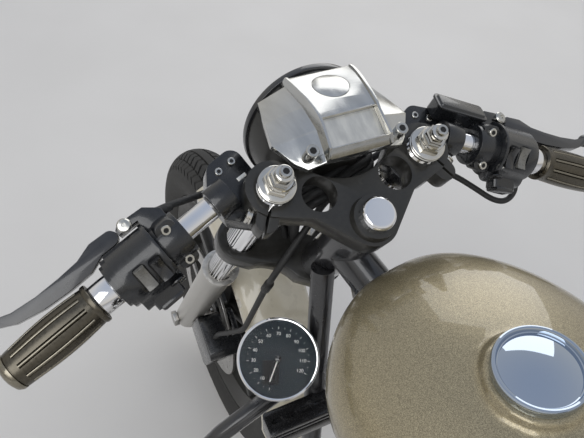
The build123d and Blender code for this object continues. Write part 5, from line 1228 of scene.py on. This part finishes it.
# A damper's profile: its heights from the low eye, then as shares of the length, then down from the high eye
DAMPER = (
    *((0, 14), (14, 14), (15, 18), (15, 38), (26, 39), (27, 41), (27, 46), (26, 48), (15, 49)),
    *((radius, SHOCK_LENGTH * share) for radius, share in ((15, 0.55), (13.5, 0.56), (8, 0.57))),
    *(
        (radius, SHOCK_LENGTH - fall)
        for radius, fall in (
            (8, 62), (26, 60), (27, 58), (27, 34), (25, 31), (17, 29), (15, 24), (14, 14), (0, 14),
        )
    ),
)
SHOCK_EYE = ((8.4, -13), (16, -13), (17, -12), (17, 12), (16, 13), (8.4, 13), (8.4, -13))
SPRING_START = 51.0
SPRING_END = SHOCK_LENGTH - 63.0
SPRING_RADIUS = 23.5
SPRING_WIRE = 3.6
SPRING_TURNS = 9
TURN_STEPS = 8


class MOTORCYCLE_OT_shocks(bpy.types.Operator):
    """Rear shocks with wound springs, collars, a polished rod and eyes"""

    bl_idname = "motorcycle.shocks"
    bl_label = "Shocks"

    def spring(self):
        points = []
        for step in range(SPRING_TURNS * TURN_STEPS + 1):
            turn = 2 * math.pi * step / TURN_STEPS
            rise = SPRING_START + (SPRING_END - SPRING_START) * step / (SPRING_TURNS * TURN_STEPS)
            points.append((SPRING_RADIUS * math.cos(turn), SPRING_RADIUS * math.sin(turn), rise))
        return cable("spring", points, SPRING_WIRE, 3)

    def execute(self, context):
        homes = twins(bike, SHOCK_LOW, SHOCK_HIGH - SHOCK_LOW)
        bodies = [spread(lathe("damper", DAMPER, 48), "damper", homes)]
        for x, y, z in (SHOCK_LOW, SHOCK_HIGH):
            places = [at(bike, (x, side * y, z), (0, 1, 0)) for side in BOTH_SIDES]
            bodies.append(spread(lathe("eye", SHOCK_EYE, 40), "eye", places))
        finish_piece(join(bodies, "shock_bodies"), "chassis", "chrome", None, ("rear_shocks",))
        finish_piece(spread(self.spring(), "shock_springs", homes), "chassis", "chrome", "gloss_black")
        return {"FINISHED"}


# Bolts: name after the body's, body, how far left of the middle, ring radius, how many
WHEEL_BOLTS = (
    ("_bolts", "front_wheel", 51.4, 47.0, 6),
    ("_bolts", "rear_wheel", 67.4, 47.0, 6),
    ("_pulley_bolts", "rear_wheel", -99.1, 34.0, 5),
)
# A bolt's radius and height, and the angle of the first one
BOLT_SIZE = (5.2, 4.6)
FIRST_BOLT = 0.3


class MOTORCYCLE_OT_wheel_bolts(bpy.types.Operator):
    """Bolts that hold the discs and the pulley"""

    bl_idname = "motorcycle.wheel_bolts"
    bl_label = "Wheel bolts"

    def execute(self, context):
        for name, body, face, radius, count in WHEEL_BOLTS:
            hub = hub_matrix(body + "_spin")
            angles = [2 * math.pi * number / count + FIRST_BOLT for number in range(count)]
            bolts = spread(hex_bolt(*BOLT_SIZE), body + name, face_ring(hub, 0, 0, face, radius, angles))
            finish_piece(bolts, body, "steel", "bright_screw")
        return {"FINISHED"}


CRANK = Vector((800.0, 0.0, 345.0))
CYLINDER_LEANS = (22.5, -22.5)
PRIMARY_FACE = 122.3
GEAR_FACE = -106.3
CLEANER_FACE = -188.3
# Rings of cover screws: middle x, z, face, radius of the ring, first and last angle, how many
COVER_SCREWS = (
    (800.0, 345.0, PRIMARY_FACE, 82.0, -75, 75, 5),
    (650.0, 345.0, PRIMARY_FACE, 66.0, 105, 255, 4),
    (812.0, 337.0, GEAR_FACE, 66.0, -150, -30, 4),
)
# How far the rocker covers' screws stand off the crank along the cylinder, ahead and aside
ROCKER_TOP = 410.5
ROCKER_CORNERS = ((-28, -64), (-28, 64), (28, -64), (28, 64))
COVER_SCREW_SIZE = (6.0, 4.0)
# Raised discs on the covers: middle x, z, face, radius
COVER_DISCS = (
    (800, 345, PRIMARY_FACE, 52), (650, 345, PRIMARY_FACE, 34), (812, 337, GEAR_FACE, 44),
    (800, 604, CLEANER_FACE, 58),
)
EXHAUST_ENDS = ((-60.0, -172.0, 190.0), (-40.0, -172.0, 270.0))
EXHAUST_WAY = (-1, 0, 0.015)
# A dark disc just inside each exhaust tip: painted shade
EXHAUST_HOLE = ((0, 1.6), (25.4, 1.6), (25.4, 0.8), (0, 0.8))
EXHAUST_JOINTS = ((608.0, -172.0, 182.0), (448.0, -172.0, 262.0))
EXHAUST_TIP = ((24, -6), (37.2, -4), (38.4, -2), (38.4, 1), (36, 3), (28, 4), (25, 2), (24, -6))
EXHAUST_CLAMP = ((22, -16), (25, -16), (26, -14), (26, 2), (38.4, 8), (38.4, 16), (37, 17))


class MOTORCYCLE_OT_engine(bpy.types.Operator):
    """Screws and raised discs of the engine's covers, and the exhaust's clamps and open tips"""

    bl_idname = "motorcycle.engine"
    bl_label = "Engine details"

    def screw_places(self):
        """The screws' frames: rings on the covers, and one at each corner of a rocker cover."""
        spots = []
        for x, z, face, radius, first, last, count in COVER_SCREWS:
            angles = [math.radians(first + (last - first) * i / (count - 1)) for i in range(count)]
            spots += face_ring(bike, x, z, face, radius, angles)
        for lean in CYLINDER_LEANS:
            turn = math.radians(lean)
            up = Vector((math.sin(turn), 0, math.cos(turn)))
            ahead = Vector((math.cos(turn), 0, -math.sin(turn)))
            for x, y in ROCKER_CORNERS:
                spots.append(at(bike, CRANK + up * ROCKER_TOP + ahead * x + Vector((0, y, 0)), up, ahead))
        return spots

    def disc(self, radius):
        """A raised disc with a stepped rim and a shallow dome."""
        rim = ((0, 0), (0, 3.4), (1.4, 4.8), (5, 5.2), (7, 4.4), (9, 4.4), (11, 5.6))
        rim = [(radius - inwards, rise) for inwards, rise in rim]
        return lathe("disc", [(0, 0), *rim, (radius * 0.4, 7.2), (0, 7.6)], 96)

    def execute(self, context):
        heads, floors = screws(self.screw_places(), *COVER_SCREW_SIZE, "cover_screws")
        finish_piece(heads, "chassis", "steel", "bright_screw")
        # Dark plugs in the sockets: painted shade
        finish_piece(floors, "chassis", "steel", "painted_shade")
        bright = [put(self.disc(radius), on_face(bike, x, face, z)) for x, z, face, radius in COVER_DISCS]
        ends = [at(bike, place, EXHAUST_WAY) for place in EXHAUST_ENDS]
        joints_back = [at(bike, place, (-1, 0, 0)) for place in EXHAUST_JOINTS]
        bright.append(spread(lathe("tip", EXHAUST_TIP, 64), "tip", ends))
        bright.append(spread(lathe("clamp", EXHAUST_CLAMP, 64), "clamp", joints_back))
        finish_piece(join(bright, "cover_discs"), "chassis", "chrome")
        # Dark discs inside the exhaust tips: painted shade of the pipes' insides
        holes = spread(lathe("hole", EXHAUST_HOLE, 48), "exhaust_holes", ends)
        finish_piece(holes, "chassis", "chrome", "painted_shade")
        return {"FINISHED"}


class MOTORCYCLE_PT_panel(bpy.types.Panel):
    """Lists the steps that dress the motorcycle"""

    bl_idname = "MOTORCYCLE_PT_panel"
    bl_label = "Motorcycle"
    bl_space_type = "VIEW_3D"
    bl_region_type = "UI"
    bl_category = "Motorcycle"

    def draw(self, context):
        look = context.scene.motorcycle_look
        for value in ("key_power", "fill_power", "sky_strength", "lens"):
            self.layout.prop(look, value)
        for step in STEPS:
            self.layout.operator(step.bl_idname)


# Every step, in the order in which main calls them
STEPS = (
    MOTORCYCLE_OT_stage,
    MOTORCYCLE_OT_skins,
    MOTORCYCLE_OT_grips,
    MOTORCYCLE_OT_gauge,
    MOTORCYCLE_OT_fork_screws,
    MOTORCYCLE_OT_switches,
    MOTORCYCLE_OT_cables,
    MOTORCYCLE_OT_tank_trim,
    MOTORCYCLE_OT_tyres,
    MOTORCYCLE_OT_front_fender,
    MOTORCYCLE_OT_headlamp,
    MOTORCYCLE_OT_seat,
    MOTORCYCLE_OT_shocks,
    MOTORCYCLE_OT_wheel_bolts,
    MOTORCYCLE_OT_engine,
)
CLASSES = (MotorcycleLook, *STEPS, MOTORCYCLE_PT_panel)


def register():
    for cls in CLASSES:
        bpy.utils.register_class(cls)
    bpy.types.Scene.motorcycle_look = bpy.props.PointerProperty(type=MotorcycleLook)


def unregister():
    del bpy.types.Scene.motorcycle_look
    for cls in reversed(CLASSES):
        bpy.utils.unregister_class(cls)


def main():
    register()
    bpy.ops.motorcycle.stage()
    bpy.ops.motorcycle.skins()
    bpy.ops.motorcycle.grips()
    bpy.ops.motorcycle.gauge()
    bpy.ops.motorcycle.fork_screws()
    bpy.ops.motorcycle.switches()
    bpy.ops.motorcycle.cables()
    bpy.ops.motorcycle.tank_trim()
    bpy.ops.motorcycle.tyres()
    bpy.ops.motorcycle.front_fender()
    bpy.ops.motorcycle.headlamp()
    bpy.ops.motorcycle.seat()
    bpy.ops.motorcycle.shocks()
    bpy.ops.motorcycle.wheel_bolts()
    bpy.ops.motorcycle.engine()


if __name__ == "__main__":
    main()
